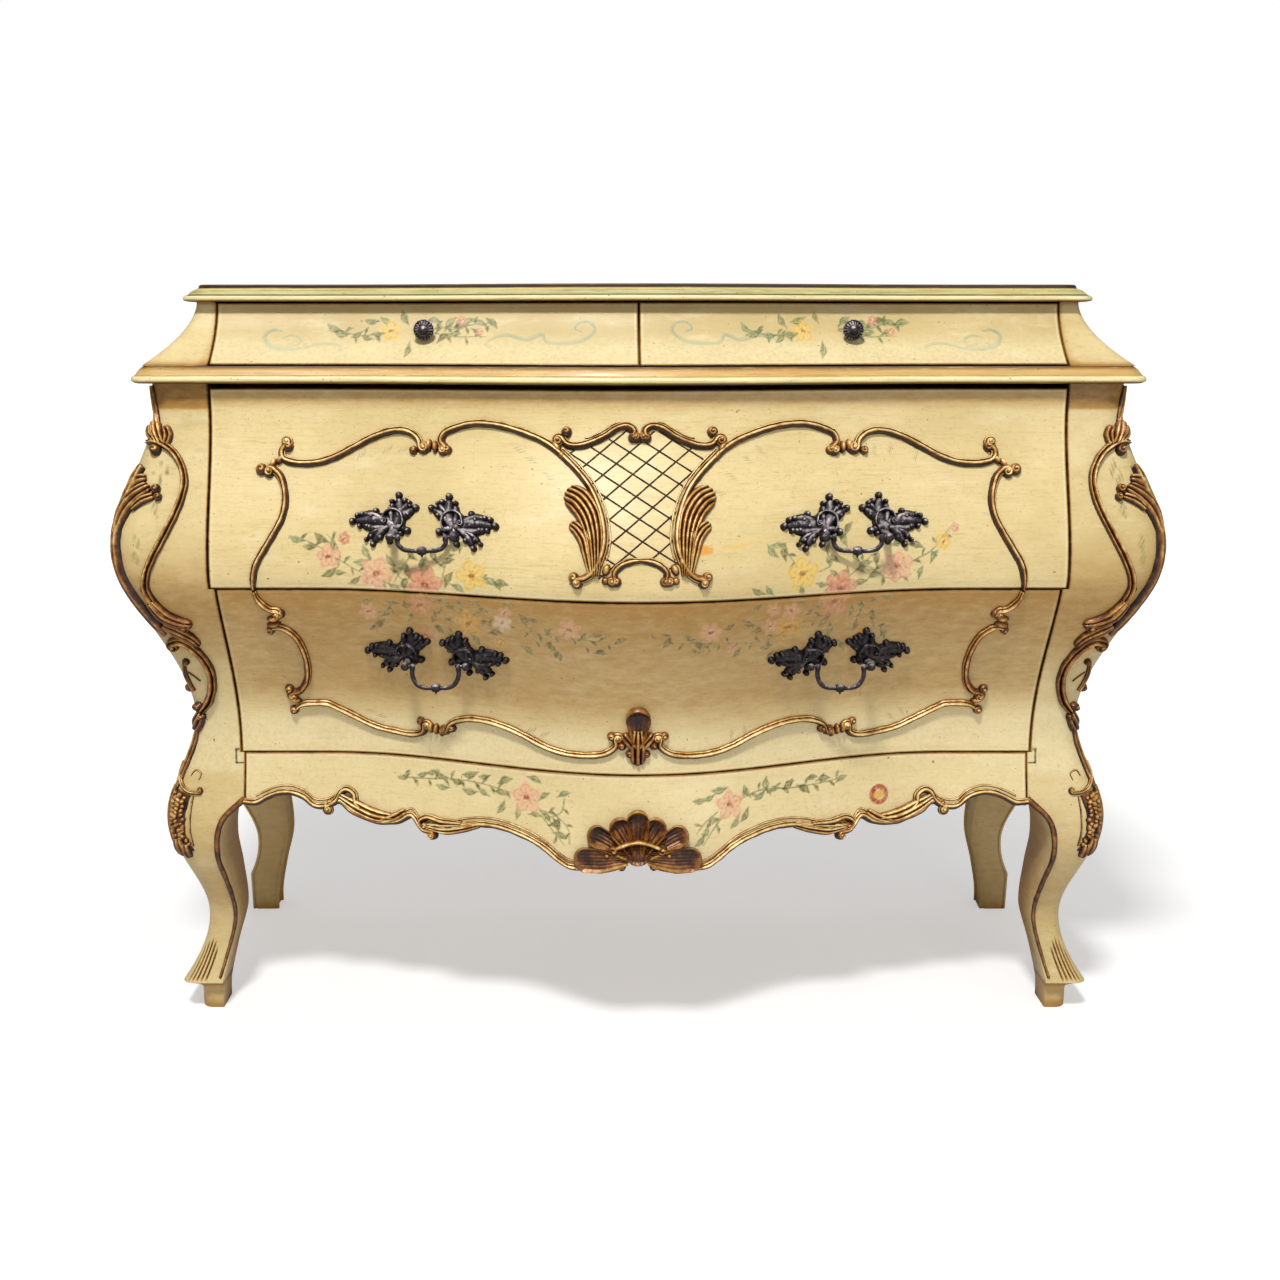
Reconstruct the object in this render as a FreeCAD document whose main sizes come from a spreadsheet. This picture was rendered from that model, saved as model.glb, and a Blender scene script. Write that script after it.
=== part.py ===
"""Rococo bombe commode: a moulded top tier with two small drawers over two swelling long drawers.

The part stands on the floor. Origin: on the floor, midway across the width and the depth.
+X is the commode's left-to-right as its user sees it, -Y is the front and +Z is up. Lengths in mm.

The whole front is one swelling surface, made once. It is a height profile with a serpentine bow added
across the width. Drawer fronts, apron, corner posts, gilt mouldings and handle plates are all cut from
layers of that surface, so that every joint line runs through it unbroken.
"""
import FreeCAD, Part
import math
import os
import re

from FreeCAD import Vector

doc = FreeCAD.newDocument("commode")
sheet = doc.addObject("Spreadsheet::Sheet", "Sizes")

SIZES = [
    # Widths of the case, each measured from the middle plane
    ("opening_half", 504, "side of the openings for the small and the upper long drawer"),
    ("lower_inset", 7, "how much narrower the lower long drawer's opening is, each side"),
    ("apron_inset", 5, "how much narrower the apron is than the lower opening, each side"),
    ("waist_half", 586, "outside of the posts under the waist top"),
    ("belly_half", 634.5, "outside of the posts at the belly"),
    ("neck_half", 567, "outside of the posts at the neck"),
    ("knee_half", 612, "outside of the legs at the knee"),
    ("ankle_half", 566, "outside of the legs at the ankle"),
    ("toe_half", 590, "tip of the toe"),
    ("plinth_half", 573, "outside of the small block under the toe"),
    ("plinth_inner_half", 541, "inside of the block under the toe"),
    ("ankle_inner_half", 521, "inside of the legs at the ankle"),
    ("knee_inner_half", 528, "inside of the legs at the knee"),
    # Front profile, measured forwards or backwards of the line of the waist
    ("waist_line", 126, "line of the waist at the posts, in front of the origin"),
    ("belly_forward", 50, "belly, forward of the waist"),
    ("neck_back", 28, "neck, behind the waist"),
    ("knee_back", 4, "knee, behind the waist"),
    ("ankle_back", 48, "ankle, behind the waist"),
    ("toe_back", 24, "toe tip, behind the waist"),
    ("plinth_back", 36, "block under the toe, behind the waist"),
    ("bow_half", 388, "half the width over which the front bows out"),
    ("waist_bow", 52, "bow of the front at the waist"),
    ("belly_bow", 88, "bow of the front at the upper seam"),
    ("hem_bow", 96, "bow of the front at the lower seam and the apron"),
    ("upper_bow", 47, "bow of the top tier"),
    # Heights above the floor
    ("plinth_height", 24, "top of the block under the toe"),
    ("toe_height", 40, "toe tip"),
    ("ankle_height", 118, "ankle"),
    ("knee_height", 245, "knee"),
    ("apron_end_height", 292, "lower edge of the apron where it meets the leg"),
    ("lower_seam", 354, "joint between apron and lower long drawer"),
    ("neck_height", 375, "neck of the front"),
    ("side_neck_height", 392, "neck of the sides"),
    ("upper_seam", 576, "joint between the two long drawers"),
    ("belly_height", 590, "belly of the front"),
    ("side_belly_height", 615, "belly of the sides"),
    ("shoulder_height", 790, "where the front starts to swell"),
    ("side_shoulder_height", 780, "where the sides start to swell"),
    ("waist_height", 812, "underside of the waist top"),
    ("waist_top_thick", 20, "thickness of the waist top"),
    ("top_underside", 906, "underside of the top board"),
    ("top_height", 926, "top of the commode"),
    # Top tier
    ("upper_half", 529, "outside of the top tier under the top board"),
    ("upper_foot_half", 578, "outside of the top tier at its foot"),
    ("upper_back_set", 57, "front of the top tier under the top board, behind the waist"),
    ("upper_foot_back", 2, "front of the top tier at its foot, behind the waist"),
    ("waist_nose", 17, "how far the waist top's nose stands out from the top tier's foot"),
    ("top_nose", 12, "how far the top board's nose stands out from the top tier"),
    ("moulding_corner", 22, "radius of the corners of the two moulded boards"),
    # Case
    ("case_back", 269, "back of the commode, behind the origin"),
    ("post_depth", 100, "back of the front posts, behind the waist"),
    ("rear_post_depth", 62, "depth of the rear posts"),
    ("panel_thick", 18, "thickness of the side panels"),
    ("back_thick", 6, "thickness of the back panel"),
    ("back_recess", 12, "how far the back panel lies inside the back"),
    ("floor_thick", 12, "thickness of the case bottom"),
    ("rail_thick", 18, "thickness of the rail behind the upper seam"),
    ("rail_depth", 70, "depth of the rail behind the upper seam"),
    ("divider_thick", 12, "thickness of the board between the small drawers"),
    ("upper_back_thick", 16, "thickness of the back board of the top tier"),
    ("runner_width", 75, "width of a drawer runner"),
    ("runner_thick", 15, "thickness of a drawer runner"),
    ("guide_height", 20, "height of the guide on a runner"),
    ("block_side", 28, "side of a glue block"),
    ("block_spread", 390, "place of the outer glue blocks, from the middle"),
    # Corner of the posts: leg of the cant that rounds it
    ("cant_waist", 30, "cant at the waist"),
    ("cant_belly", 46, "cant at the belly"),
    ("cant_neck", 26, "cant at the neck"),
    ("cant_knee", 34, "cant at the knee"),
    ("cant_ankle", 16, "cant at the ankle and toe"),
    # Drawers
    ("front_thick", 26, "thickness of a long drawer's front at its edges, measured front to back"),
    ("upper_thick", 30, "the same, for the small drawers, at their upper and lower edges"),
    ("drawer_gap", 1.5, "gap round a drawer front"),
    ("top_gap", 5, "gap over the upper long drawer"),
    ("side_thick", 12, "thickness of a drawer side"),
    ("small_side_thick", 9, "thickness of a small drawer's side"),
    ("bottom_thick", 6, "thickness of a drawer bottom"),
    ("bottom_rise", 6, "height of a drawer bottom above the lower edge of its sides"),
    ("box_inset", 14, "how far a drawer side lies inside the end of its front"),
    ("box_rise", 14, "how far the sides of a long drawer start above its front's lower edge"),
    ("box_drop", 22, "how far the sides of a long drawer stop below its front's upper edge"),
    ("small_rise", 4, "the same, for a small drawer, at its foot"),
    ("small_drop", 10, "the same, for a small drawer, at its top"),
    ("box_end", 239, "back of the drawer boxes, behind the origin"),
    ("slide_gap", 0.5, "gap between a drawer and what it slides on"),
    # Gilt carving
    ("relief", 6, "height of the gilt mouldings above the ground"),
    ("leaf_relief", 8, "height of the gilt leaves and of the fleuron"),
    ("shell_relief", 9, "height of the ribs of the shell"),
    ("shell_ground", 5, "height of the ground between the ribs of the shell"),
    ("strand_width", 9, "width of a gilt strand"),
    ("scroll_radius", 8, "radius of a scroll's ball"),
    ("edge_width", 8, "width of the gilt edge of apron and legs"),
    ("shell_half", 80, "half the width of the shell"),
    ("shell_rise", 74, "height of the shell over its root"),
    ("shell_root", 240, "height of the shell's root above the floor"),
    ("carve_relief", 5, "height of the carving on the corner posts"),
    # Handles and knobs
    ("handle_out", 248, "middle of an upper handle, from the middle plane"),
    ("lower_handle_out", 240, "middle of a lower handle, from the middle plane"),
    ("handle_height", 655, "middle of the upper handles' plates"),
    ("lower_handle_height", 496, "middle of the lower handles' plates"),
    ("plate_spread", 48, "middle of a plate, from the middle of its handle"),
    ("plate_half", 37, "half the width of a plate"),
    ("plate_half_height", 30, "half the height of a plate"),
    ("plate_thick", 3, "thickness of a plate"),
    ("pin_spread", 31, "middle of a bail's eye, from the middle of its handle"),
    ("pin_drop", 12, "bail's pin, below the middle of the plates"),
    ("pin_out", 21, "bail's pin, in front of the drawer front"),
    ("boss_radius", 5, "radius of the boss that holds the pin"),
    ("pin_radius", 2.1, "radius of the bail's pin"),
    ("pin_gap", 0.3, "gap round the pin"),
    ("bail_radius", 3.2, "radius of the bail's rod"),
    ("bail_drop", 28, "drop of the bail below its pin"),
    ("bail_bend", 9, "radius of the bail's bends"),
    ("knop_radius", 5.5, "radius of the ball at the middle of the bail"),
    ("knob_height", 873, "middle of a knob"),
    ("knob_radius", 12.5, "radius of a knob"),
    ("knob_reach", 25, "how far a knob stands out from its drawer front"),
    ("overrun", 60, "how far a cutting tool runs past what it cuts"),
]

for row, (alias, value, note) in enumerate(SIZES, start=1):
    sheet.set(f"A{row}", alias)
    sheet.set(f"B{row}", str(value))
    sheet.set(f"C{row}", note)
    sheet.setAlias(f"B{row}", alias)
doc.recompute()

NAMES = {alias for alias, _, _ in SIZES}
PARTS = []


def mm(alias):
    """Number held by one cell of the sheet."""
    return float(sheet.get(alias))


def formula(text):
    """Expression in which each alias is written with its sheet's name."""
    return re.sub(r"[a-z_]+", lambda word: f"Sizes.{word[0]}" if word[0] in NAMES else word[0], text)


def bind(item, setting, text):
    item.setExpression(setting, formula(text))


def keep(item):
    """Mark an object as one of the pieces that are handed over."""
    PARTS.append(item)
    return item


# Blocks, layers and prisms

def board(name, x_span, y_span, z_span):
    """Straight board between two expressions along each axis."""
    item = doc.addObject("Part::Box", name)
    for setting, place, (low, high) in zip(("Length", "Width", "Height"), "xyz", (x_span, y_span, z_span)):
        bind(item, setting, f"({high}) - ({low})")
        bind(item, f"Placement.Base.{place}", low)
    return item


def solid(name, shape):
    item = doc.addObject("Part::Feature", name)
    item.Shape = shape
    return item


def cut(name, base, tool):
    item = doc.addObject("Part::Cut", name)
    item.Base = base
    item.Tool = tool
    return item


def common(name, *items):
    item = doc.addObject("Part::MultiCommon", name)
    item.Shapes = list(items)
    return item


def fuse(name, items):
    item = doc.addObject("Part::MultiFuse", name)
    item.Shapes = list(items)
    return item


def mirrored(name, source):
    """The same piece on the other side of the middle plane."""
    item = doc.addObject("Part::Mirroring", name)
    item.Source = source
    item.Base = Vector(0, 0, 0)
    item.Normal = Vector(1, 0, 0)
    return item


def layer(name, face, back, forward):
    """Slab of a front surface, from one expression behind it to another in front of it."""
    item = doc.addObject("Part::Extrusion", name)
    item.Base = face
    item.DirMode = "Custom"
    item.Dir = Vector(0, 1, 0)
    bind(item, "LengthFwd", back)
    bind(item, "LengthRev", forward)
    return item


def smooth(points):
    """Edge along a smooth curve through the points."""
    curve = Part.BSplineCurve()
    curve.interpolate(points)
    return curve.toShape()


def arcs(points, count):
    """Chain of arcs along a smooth curve through the points: it meshes to far fewer facets."""
    curve = Part.BSplineCurve()
    curve.interpolate(points)
    run = [curve.value(t) for t in steps(curve.FirstParameter, curve.LastParameter, 2 * count)]
    edges = []
    for start, middle, end in zip(run[0::2], run[1::2], run[2::2]):
        bulge = (middle - (start + end) / 2).Length
        if bulge < STRAIGHT_SHARE * (end - start).Length:
            edges.append(Part.makeLine(start, end))
        else:
            edges.append(Part.Arc(start, middle, end).toShape())
    return edges


STRAIGHT_SHARE = 1e-3


def steps(low, high, count):
    return [low + (high - low) * index / count for index in range(count + 1)]


def lines(points):
    return [Part.makeLine(a, b) for a, b in zip(points, points[1:])]


def closed_face(edges):
    return Part.Face(Part.Wire(Part.__sortEdges__(edges)))


def through(name, face, near=None, far=None):
    """Prism of a face in the plane y = 0, through the front from one y to another."""
    near = -2 * mm("waist_line") - 2 * mm("hem_bow") if near is None else near
    far = mm("case_back") if far is None else far
    placed = face.copy()
    placed.translate(Vector(0, near, 0))
    return solid(name, placed.extrude(Vector(0, far - near, 0)))


# Profiles of the case

def eased(keys, height):
    """Value at a height of a profile that runs level through its keys: (height, value, haste share)."""
    if height >= keys[0][0]:
        return keys[0][1]
    for (top, start, _), (foot, end, haste) in zip(keys, keys[1:]):
        if height >= foot:
            way = ((top - height) / (top - foot)) ** haste
            return start + (end - start) * way * way * (3 - 2 * way)
    return keys[-1][1]


def flared(keys, toe, height):
    """The same, with a leg that sweeps out below its last key to a value at the toe's height."""
    foot, ankle, _ = keys[-1]
    if height >= foot:
        return eased(keys, height)
    return ankle + (toe - ankle) * ((foot - height) / (foot - mm("toe_height"))) ** 2


EVEN_HASTE = 1
NECK_HASTE = 0.8
SIDE_NECK_HASTE = 0.93
SIDE_KNEE_HASTE = 0.9


def front_at(height):
    """How far the front at the posts stands forward of the waist."""
    keys = [
        (mm("shoulder_height"), 0, EVEN_HASTE),
        (mm("belly_height"), mm("belly_forward"), EVEN_HASTE),
        (mm("neck_height"), -mm("neck_back"), NECK_HASTE),
        (mm("knee_height"), -mm("knee_back"), EVEN_HASTE),
        (mm("ankle_height"), -mm("ankle_back"), EVEN_HASTE),
    ]
    return flared(keys, -mm("toe_back"), height)


def side_at(height):
    """Half the width of the lower case outside its posts."""
    keys = [
        (mm("side_shoulder_height"), mm("waist_half"), EVEN_HASTE),
        (mm("side_belly_height"), mm("belly_half"), EVEN_HASTE),
        (mm("side_neck_height"), mm("neck_half"), SIDE_NECK_HASTE),
        (mm("knee_height"), mm("knee_half"), SIDE_KNEE_HASTE),
        (mm("ankle_height"), mm("ankle_half"), EVEN_HASTE),
    ]
    return flared(keys, mm("toe_half"), height)


def cant_at(height):
    """Leg of the cant that rounds a post's corner."""
    keys = [
        (mm("shoulder_height"), mm("cant_waist"), EVEN_HASTE),
        (mm("belly_height"), mm("cant_belly"), EVEN_HASTE),
        (mm("neck_height"), mm("cant_neck"), EVEN_HASTE),
        (mm("knee_height"), mm("cant_knee"), EVEN_HASTE),
        (mm("ankle_height"), mm("cant_ankle"), EVEN_HASTE),
    ]
    return eased(keys, height)


def bow_at(height):
    keys = [
        (mm("waist_height"), mm("waist_bow"), EVEN_HASTE),
        (mm("upper_seam"), mm("belly_bow"), EVEN_HASTE),
        (mm("lower_seam"), mm("hem_bow"), EVEN_HASTE),
    ]
    return eased(keys, height)


COVE_HASTE = 1.75


def cove(height, top, foot):
    """Hollow curve of the top tier: upright under the top board, sweeping out at its foot."""
    floor = mm("waist_height") + mm("waist_top_thick")
    way = max(0, (mm("top_underside") - height) / (mm("top_underside") - floor))
    return top + (foot - top) * way ** COVE_HASTE


def bow_share(distance):
    """Share of the bow at a distance from the middle."""
    return (1 + math.cos(math.pi * min(1, abs(distance) / mm("bow_half")))) / 2


BOW_SHARES = (-1.68, -1.3, -1, -0.7, -0.36, 0, 0.36, 0.7, 1, 1.3, 1.68)


def straight_curve(points):
    """Curve of straight runs through the points."""
    curve = Part.BSplineCurve()
    ends = [2] + [1] * (len(points) - 2) + [2]
    curve.buildFromPolesMultsKnots(points, ends, [float(i) for i in range(len(points))], False, 1)
    return curve


def front_surface(name, heights, forward, bow, straight=False):
    """Surface of a front: a height profile, plus a bow that fades out towards the posts."""
    spread = Part.BSplineCurve()
    spread.interpolate([Vector(s * mm("bow_half"), bow_share(s * mm("bow_half")), 0) for s in BOW_SHARES])
    profile = [Vector(forward(z), bow(z), z) for z in heights]
    rise = Part.BSplineCurve()
    if straight:
        rise = straight_curve(profile)
    else:
        rise.interpolate(profile)
    poles = []
    for a in spread.getPoles():
        poles.append([Vector(a.x, -mm("waist_line") - r.x - r.y * a.y, r.z) for r in rise.getPoles()])
    surface = Part.BSplineSurface()
    surface.buildFromPolesMultsKnots(
        poles,
        spread.getMultiplicities(),
        rise.getMultiplicities(),
        spread.getKnots(),
        rise.getKnots(),
        False,
        False,
        spread.Degree,
        rise.Degree,
    )
    return solid(name, surface.toShape())


LOWER_STEPS = 18
lower_top = mm("waist_height") + mm("top_gap")
lower_heights = steps(-mm("plinth_height"), lower_top, LOWER_STEPS)
lower_surface = front_surface("lower_surface", lower_heights, front_at, bow_at)

# The inside of the fronts runs straight from seam to seam
inner_heights = [mm("plinth_height"), mm("lower_seam"), mm("upper_seam"), lower_top]
inner_surface = front_surface("inner_surface", inner_heights, front_at, bow_at, straight=True)

COVE_STEPS = 4
upper_foot = mm("waist_height") + mm("waist_top_thick")


def cove_at(height):
    return cove(height, -mm("upper_back_set"), -mm("upper_foot_back"))


def upper_bow_at(height):
    return mm("upper_bow")


cove_heights = steps(upper_foot, mm("top_underside"), COVE_STEPS)
cove_ends = [upper_foot, mm("top_underside")]
upper_surface = front_surface("upper_surface", cove_heights, cove_at, upper_bow_at, straight=True)
upper_inner = front_surface("upper_inner", cove_ends, cove_at, upper_bow_at, straight=True)

lower_block = layer("lower_block", lower_surface, "case_back + waist_line", "0")
inner_block = layer("inner_block", inner_surface, "case_back + 3 * waist_line", "-front_thick")
lower_void = layer("lower_void", inner_surface, "front_thick", "2 * waist_line")
rail_void = layer("rail_void", inner_surface, "front_thick + drawer_gap", "2 * waist_line")
upper_block = layer("upper_block", upper_surface, "case_back + waist_line", "0")
upper_inner_block = layer("upper_inner_block", upper_inner, "case_back + 3 * waist_line", "-upper_thick")
upper_void = layer("upper_void", upper_inner, "upper_thick", "2 * waist_line")
upper_case_void = layer("upper_case_void", upper_inner, "upper_thick + drawer_gap", "2 * waist_line")
relief_layer = layer("relief_layer", lower_surface, "0", "relief")
leaf_layer = layer("leaf_layer", lower_surface, "0", "leaf_relief")
plate_layer = layer("plate_layer", lower_surface, "0", "plate_thick")
shell_rib_layer = layer("shell_rib_layer", lower_surface, "0", "shell_relief")
shell_ground_layer = layer("shell_ground_layer", lower_surface, "0", "shell_ground")


# Corner posts with their cabriole legs

SIDE_STEPS = 16
SIDE_ARCS = 11
LEG_ARCS = 6
SHIN_ARCS = 4
BAND_ARCS = 6


# Inner edge of a leg: shares of the way up to the ankle with the share of the block's width there,
# then shares of the way from ankle to knee and from knee to apron
LEG_FOOT_SHARES = ((0.2, 0.97), (0.6, 0.6), (1.05, 0))
LEG_CALF_SHARES = ((0.5, 0.35), (0.85, 1))
LEG_TOP_SHARES = ((0.5, 0.25), (1, 1))


def leg_inside(apron_half):
    """Inner edge of a leg, from the block under the toe up to the end of the apron."""
    plinth, ankle, knee = mm("plinth_inner_half"), mm("ankle_inner_half"), mm("knee_inner_half")
    low, high, end = mm("ankle_height"), mm("knee_height"), mm("apron_end_height")
    points = []
    for rise, wide in LEG_FOOT_SHARES:
        points.append(Vector(ankle + (plinth - ankle) * wide, 0, low * rise))
    for rise, wide in LEG_CALF_SHARES:
        points.append(Vector(ankle + (knee - ankle) * wide, 0, low + (high - low) * rise))
    for rise, wide in LEG_TOP_SHARES:
        points.append(Vector(knee + (apron_half - knee) * wide, 0, high + (end - high) * rise))
    return points


def post_outline(grow):
    """Front view of a post and leg, its outer edge moved out by grow."""
    lower_half = mm("opening_half") - mm("lower_inset")
    apron_half = lower_half - mm("apron_inset")
    toe, plinth = mm("toe_height"), mm("plinth_height")
    outer = [Vector(side_at(z) + grow, 0, z) for z in steps(toe, mm("waist_height"), SIDE_STEPS)]
    inner = leg_inside(apron_half)
    edges = arcs(outer, SIDE_ARCS) + arcs(inner, LEG_ARCS)
    under = [
        outer[0],
        Vector(mm("plinth_half") + grow, 0, plinth),
        Vector(mm("plinth_half") + grow, 0, 0),
        Vector(mm("plinth_inner_half"), 0, 0),
        inner[0],
    ]
    inside = [
        inner[-1],
        Vector(apron_half, 0, mm("lower_seam")),
        Vector(lower_half, 0, mm("lower_seam")),
        Vector(lower_half, 0, mm("upper_seam")),
        Vector(mm("opening_half"), 0, mm("upper_seam")),
        Vector(mm("opening_half"), 0, mm("waist_height")),
        outer[-1],
    ]
    return closed_face(edges + lines(under) + lines(inside))


ANKLE_DEPTH_SHARE = 1.05
KNEE_DEPTH_SHARE = 0.98
FOOT_DEPTH_SHARE = 1.3
SHIN_SHARES = (0.45, 0.6)


def leg_side_face(front_clear):
    """Side view of a front post: straight at the back, with a leg that narrows to its foot."""
    waist = -mm("waist_line")
    back = waist + mm("post_depth")
    ankle = waist + mm("post_depth") * ANKLE_DEPTH_SHARE
    knee = waist + mm("post_depth") * KNEE_DEPTH_SHARE
    foot_depth = (mm("plinth_half") - mm("plinth_inner_half")) * FOOT_DEPTH_SHARE
    foot_back = waist + mm("plinth_back") + foot_depth
    front = waist - front_clear
    curve = [
        Vector(0, foot_back, mm("plinth_height")),
        Vector(0, foot_back + (ankle - foot_back) * SHIN_SHARES[0], mm("ankle_height") * SHIN_SHARES[1]),
        Vector(0, ankle, mm("ankle_height")),
        Vector(0, knee, mm("knee_height")),
        Vector(0, back, mm("apron_end_height")),
    ]
    corners = [
        curve[-1],
        Vector(0, back, mm("waist_height")),
        Vector(0, front, mm("waist_height")),
        Vector(0, front, mm("toe_height")),
        Vector(0, waist + mm("toe_back"), mm("toe_height")),
        Vector(0, waist + mm("plinth_back"), mm("plinth_height")),
        Vector(0, waist + mm("plinth_back"), 0),
        Vector(0, foot_back, 0),
        curve[0],
    ]
    return closed_face(arcs(curve, SHIN_ARCS) + lines(corners))


# Rear leg: its depth at the foot, then shares of its taper and of the ankle's height
REAR_FOOT_SHARE = 0.6
REAR_TAPER_SHARES = ((1, 0), (0.8, 0.7), (0.45, 1.5))


def rear_leg_side_face():
    """Side view of a rear post: its back stands upright against the wall."""
    back = mm("case_back")
    front = back - mm("rear_post_depth")
    taper = mm("rear_post_depth") * (1 - REAR_FOOT_SHARE)
    curve = []
    for narrow, rise in REAR_TAPER_SHARES:
        curve.append(Vector(0, front + taper * narrow, mm("ankle_height") * rise))
    curve.append(Vector(0, front, mm("apron_end_height")))
    corners = [
        curve[-1],
        Vector(0, front, mm("waist_height")),
        Vector(0, back, mm("waist_height")),
        Vector(0, back, 0),
        curve[0],
    ]
    return closed_face(arcs(curve, SHIN_ARCS) + lines(corners))


def across(name, face, near, far):
    """Prism of a face in the plane x = 0, between two distances from the middle."""
    placed = face.copy()
    placed.translate(Vector(near, 0, 0))
    return solid(name, placed.extrude(Vector(far - near, 0, 0)))


def cant_prism(name, grow):
    """What lies behind the canted corner of a right-hand post."""
    root = math.sqrt(2)
    outward = Vector(1 / root, -1 / root, 0)
    along = Vector(1 / root, 1 / root, 0)

    def corner(reach, height):
        return outward * (reach + grow) + Vector(0, 0, height)

    toe, plinth = mm("toe_height"), mm("plinth_height")
    rise = []
    for z in steps(toe, mm("waist_height"), SIDE_STEPS):
        rise.append(corner((side_at(z) + mm("waist_line") + front_at(z) - cant_at(z)) / root, z))
    block = (mm("plinth_half") + mm("waist_line") - mm("plinth_back") - mm("cant_ankle")) / root
    inside = mm("opening_half") / 2 / root
    corners = [
        rise[-1],
        outward * inside + Vector(0, 0, mm("waist_height")),
        outward * inside,
        corner(block, 0),
        corner(block, plinth),
        rise[0],
    ]
    face = closed_face(arcs(rise, SIDE_ARCS) + lines(corners))
    length = mm("belly_half") + mm("case_back")
    face.translate(along * -length / 2)
    return solid(name, face.extrude(along * length * root))


post_prism = through("post_prism", post_outline(0))
post_side = across("post_side", leg_side_face(mm("belly_forward") + mm("overrun")), 0, 2 * mm("belly_half"))
post_cant = cant_prism("post_cant", 0)
right_post = keep(common("front_right_post", lower_block, post_prism, post_side, post_cant))
keep(mirrored("front_left_post", right_post))

rear_side = across("rear_side", rear_leg_side_face(), 0, 2 * mm("belly_half"))
rear_post = keep(common("rear_right_post", post_prism, rear_side))
keep(mirrored("rear_left_post", rear_post))


# Side panels and side aprons

def side_band(low, high, inset, thick):
    """Front view of a swelling board that follows the outside of the posts between two heights."""
    heights = steps(low, high, SIDE_STEPS // 2)
    outer = [Vector(side_at(z) - inset, 0, z) for z in heights]
    inner = [Vector(side_at(z) - inset - thick, 0, z) for z in heights]
    ends = [Part.makeLine(outer[0], inner[0]), Part.makeLine(outer[-1], inner[-1])]
    return closed_face(arcs(outer, BAND_ARCS) + arcs(inner, BAND_ARCS) + ends)


PANEL_INSET_SHARE = 0.08
panel_inset = mm("panel_thick") * PANEL_INSET_SHARE
panel_front = mm("post_depth") - mm("waist_line")
panel_back = mm("case_back") - mm("rear_post_depth")
panel_face = side_band(mm("lower_seam"), mm("waist_height"), panel_inset, mm("panel_thick"))
right_panel = keep(through("right_side_panel", panel_face, panel_front, panel_back))
keep(mirrored("left_side_panel", right_panel))

SIDE_ARCH_SHARES = ((0, 0), (0.12, 0.34), (0.3, 0.42), (0.5, 0.2), (0.7, 0.42), (0.88, 0.34), (1, 0))


def side_apron_outline():
    """Side view of a side apron, its lower edge in a double arch with a drop in the middle."""
    low, high = mm("apron_end_height"), mm("lower_seam")
    arch = []
    for along, rise in SIDE_ARCH_SHARES:
        arch.append(Vector(0, panel_front + (panel_back - panel_front) * along, low + (high - low) * rise))
    corners = [arch[-1], Vector(0, panel_back, high), Vector(0, panel_front, high), arch[0]]
    return closed_face(arcs(arch, LEG_ARCS) + lines(corners))


apron_low = mm("apron_end_height") - mm("overrun") / 2
apron_side_face = side_band(apron_low, mm("lower_seam"), panel_inset, mm("panel_thick"))
apron_side_board = through("side_apron_board", apron_side_face, panel_front, panel_back)
apron_side_cut = across("side_apron_cut", side_apron_outline(), 0, 2 * mm("belly_half"))
right_side_apron = keep(common("right_side_apron", apron_side_board, apron_side_cut))
keep(mirrored("left_side_apron", right_side_apron))


# Front apron with its gilt edge and shell

APRON_SHARES = (
    (1, 0), (0.94, 0.17), (0.88, 0.18), (0.82, -0.09), (0.75, -0.06), (0.7, -0.2), (0.63, -0.37),
    (0.57, -0.22), (0.52, -0.4), (0.44, -0.3), (0.36, -0.2), (0.29, -0.3), (0.22, -0.58), (0.16, -0.85),
    (0.09, -0.88), (0, -0.8),
)


def apron_points():
    """Lower edge of the right half of the apron, from the leg to the middle."""
    wide = mm("opening_half") - mm("lower_inset") - mm("apron_inset")
    end = mm("apron_end_height")
    tall = mm("lower_seam") - end
    return [Vector(wide * across_share, 0, end + tall * rise) for across_share, rise in APRON_SHARES]


def mirror_points(points):
    return [Vector(-p.x, p.y, p.z) for p in reversed(points)]


APRON_ARCS = 26


def apron_face():
    low = apron_points()
    line = low + mirror_points(low)[1:]
    top = mm("lower_seam")
    corners = [line[-1], Vector(line[-1].x, 0, top), Vector(line[0].x, 0, top), line[0]]
    return closed_face(arcs(line, APRON_ARCS) + lines(corners))


apron_prism = through("apron_prism", apron_face())
apron_block = common("apron_block", lower_block, apron_prism)
keep(cut("front_apron", apron_block, inner_block))


# Gilt strands, scrolls and leaves

def polygon(points):
    """Face bounded by straight lines through places (x, z) in the plane y = 0."""
    corners = [Vector(x, 0, z) for x, z in points]
    return Part.Face(Part.makePolygon(corners + [corners[0]]))


def strand(points, width):
    """Face of a strip of one width along a run of places, mitred at each and pointed at its ends."""
    run = [Vector(x, 0, z) for x, z in points]
    ways = [(b - a).normalize() for a, b in zip(run, run[1:])]
    left, right = [], []
    for place, before, after in zip(run, [ways[0]] + ways, ways + [ways[-1]]):
        along = (before + after).normalize()
        aside = Vector(-along.z, 0, along.x) * (width / 2 / along.dot(after))
        left.append(place + aside)
        right.append(place - aside)
    start = run[0] - ways[0] * (width / 2)
    end = run[-1] + ways[-1] * (width / 2)
    return polygon([(p.x, p.z) for p in [start] + left + [end] + right[::-1]])


LEAF_SHARES = ((0, 0), (0.25, 0.8), (0.5, 1), (0.75, 0.75), (1, 0))


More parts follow.
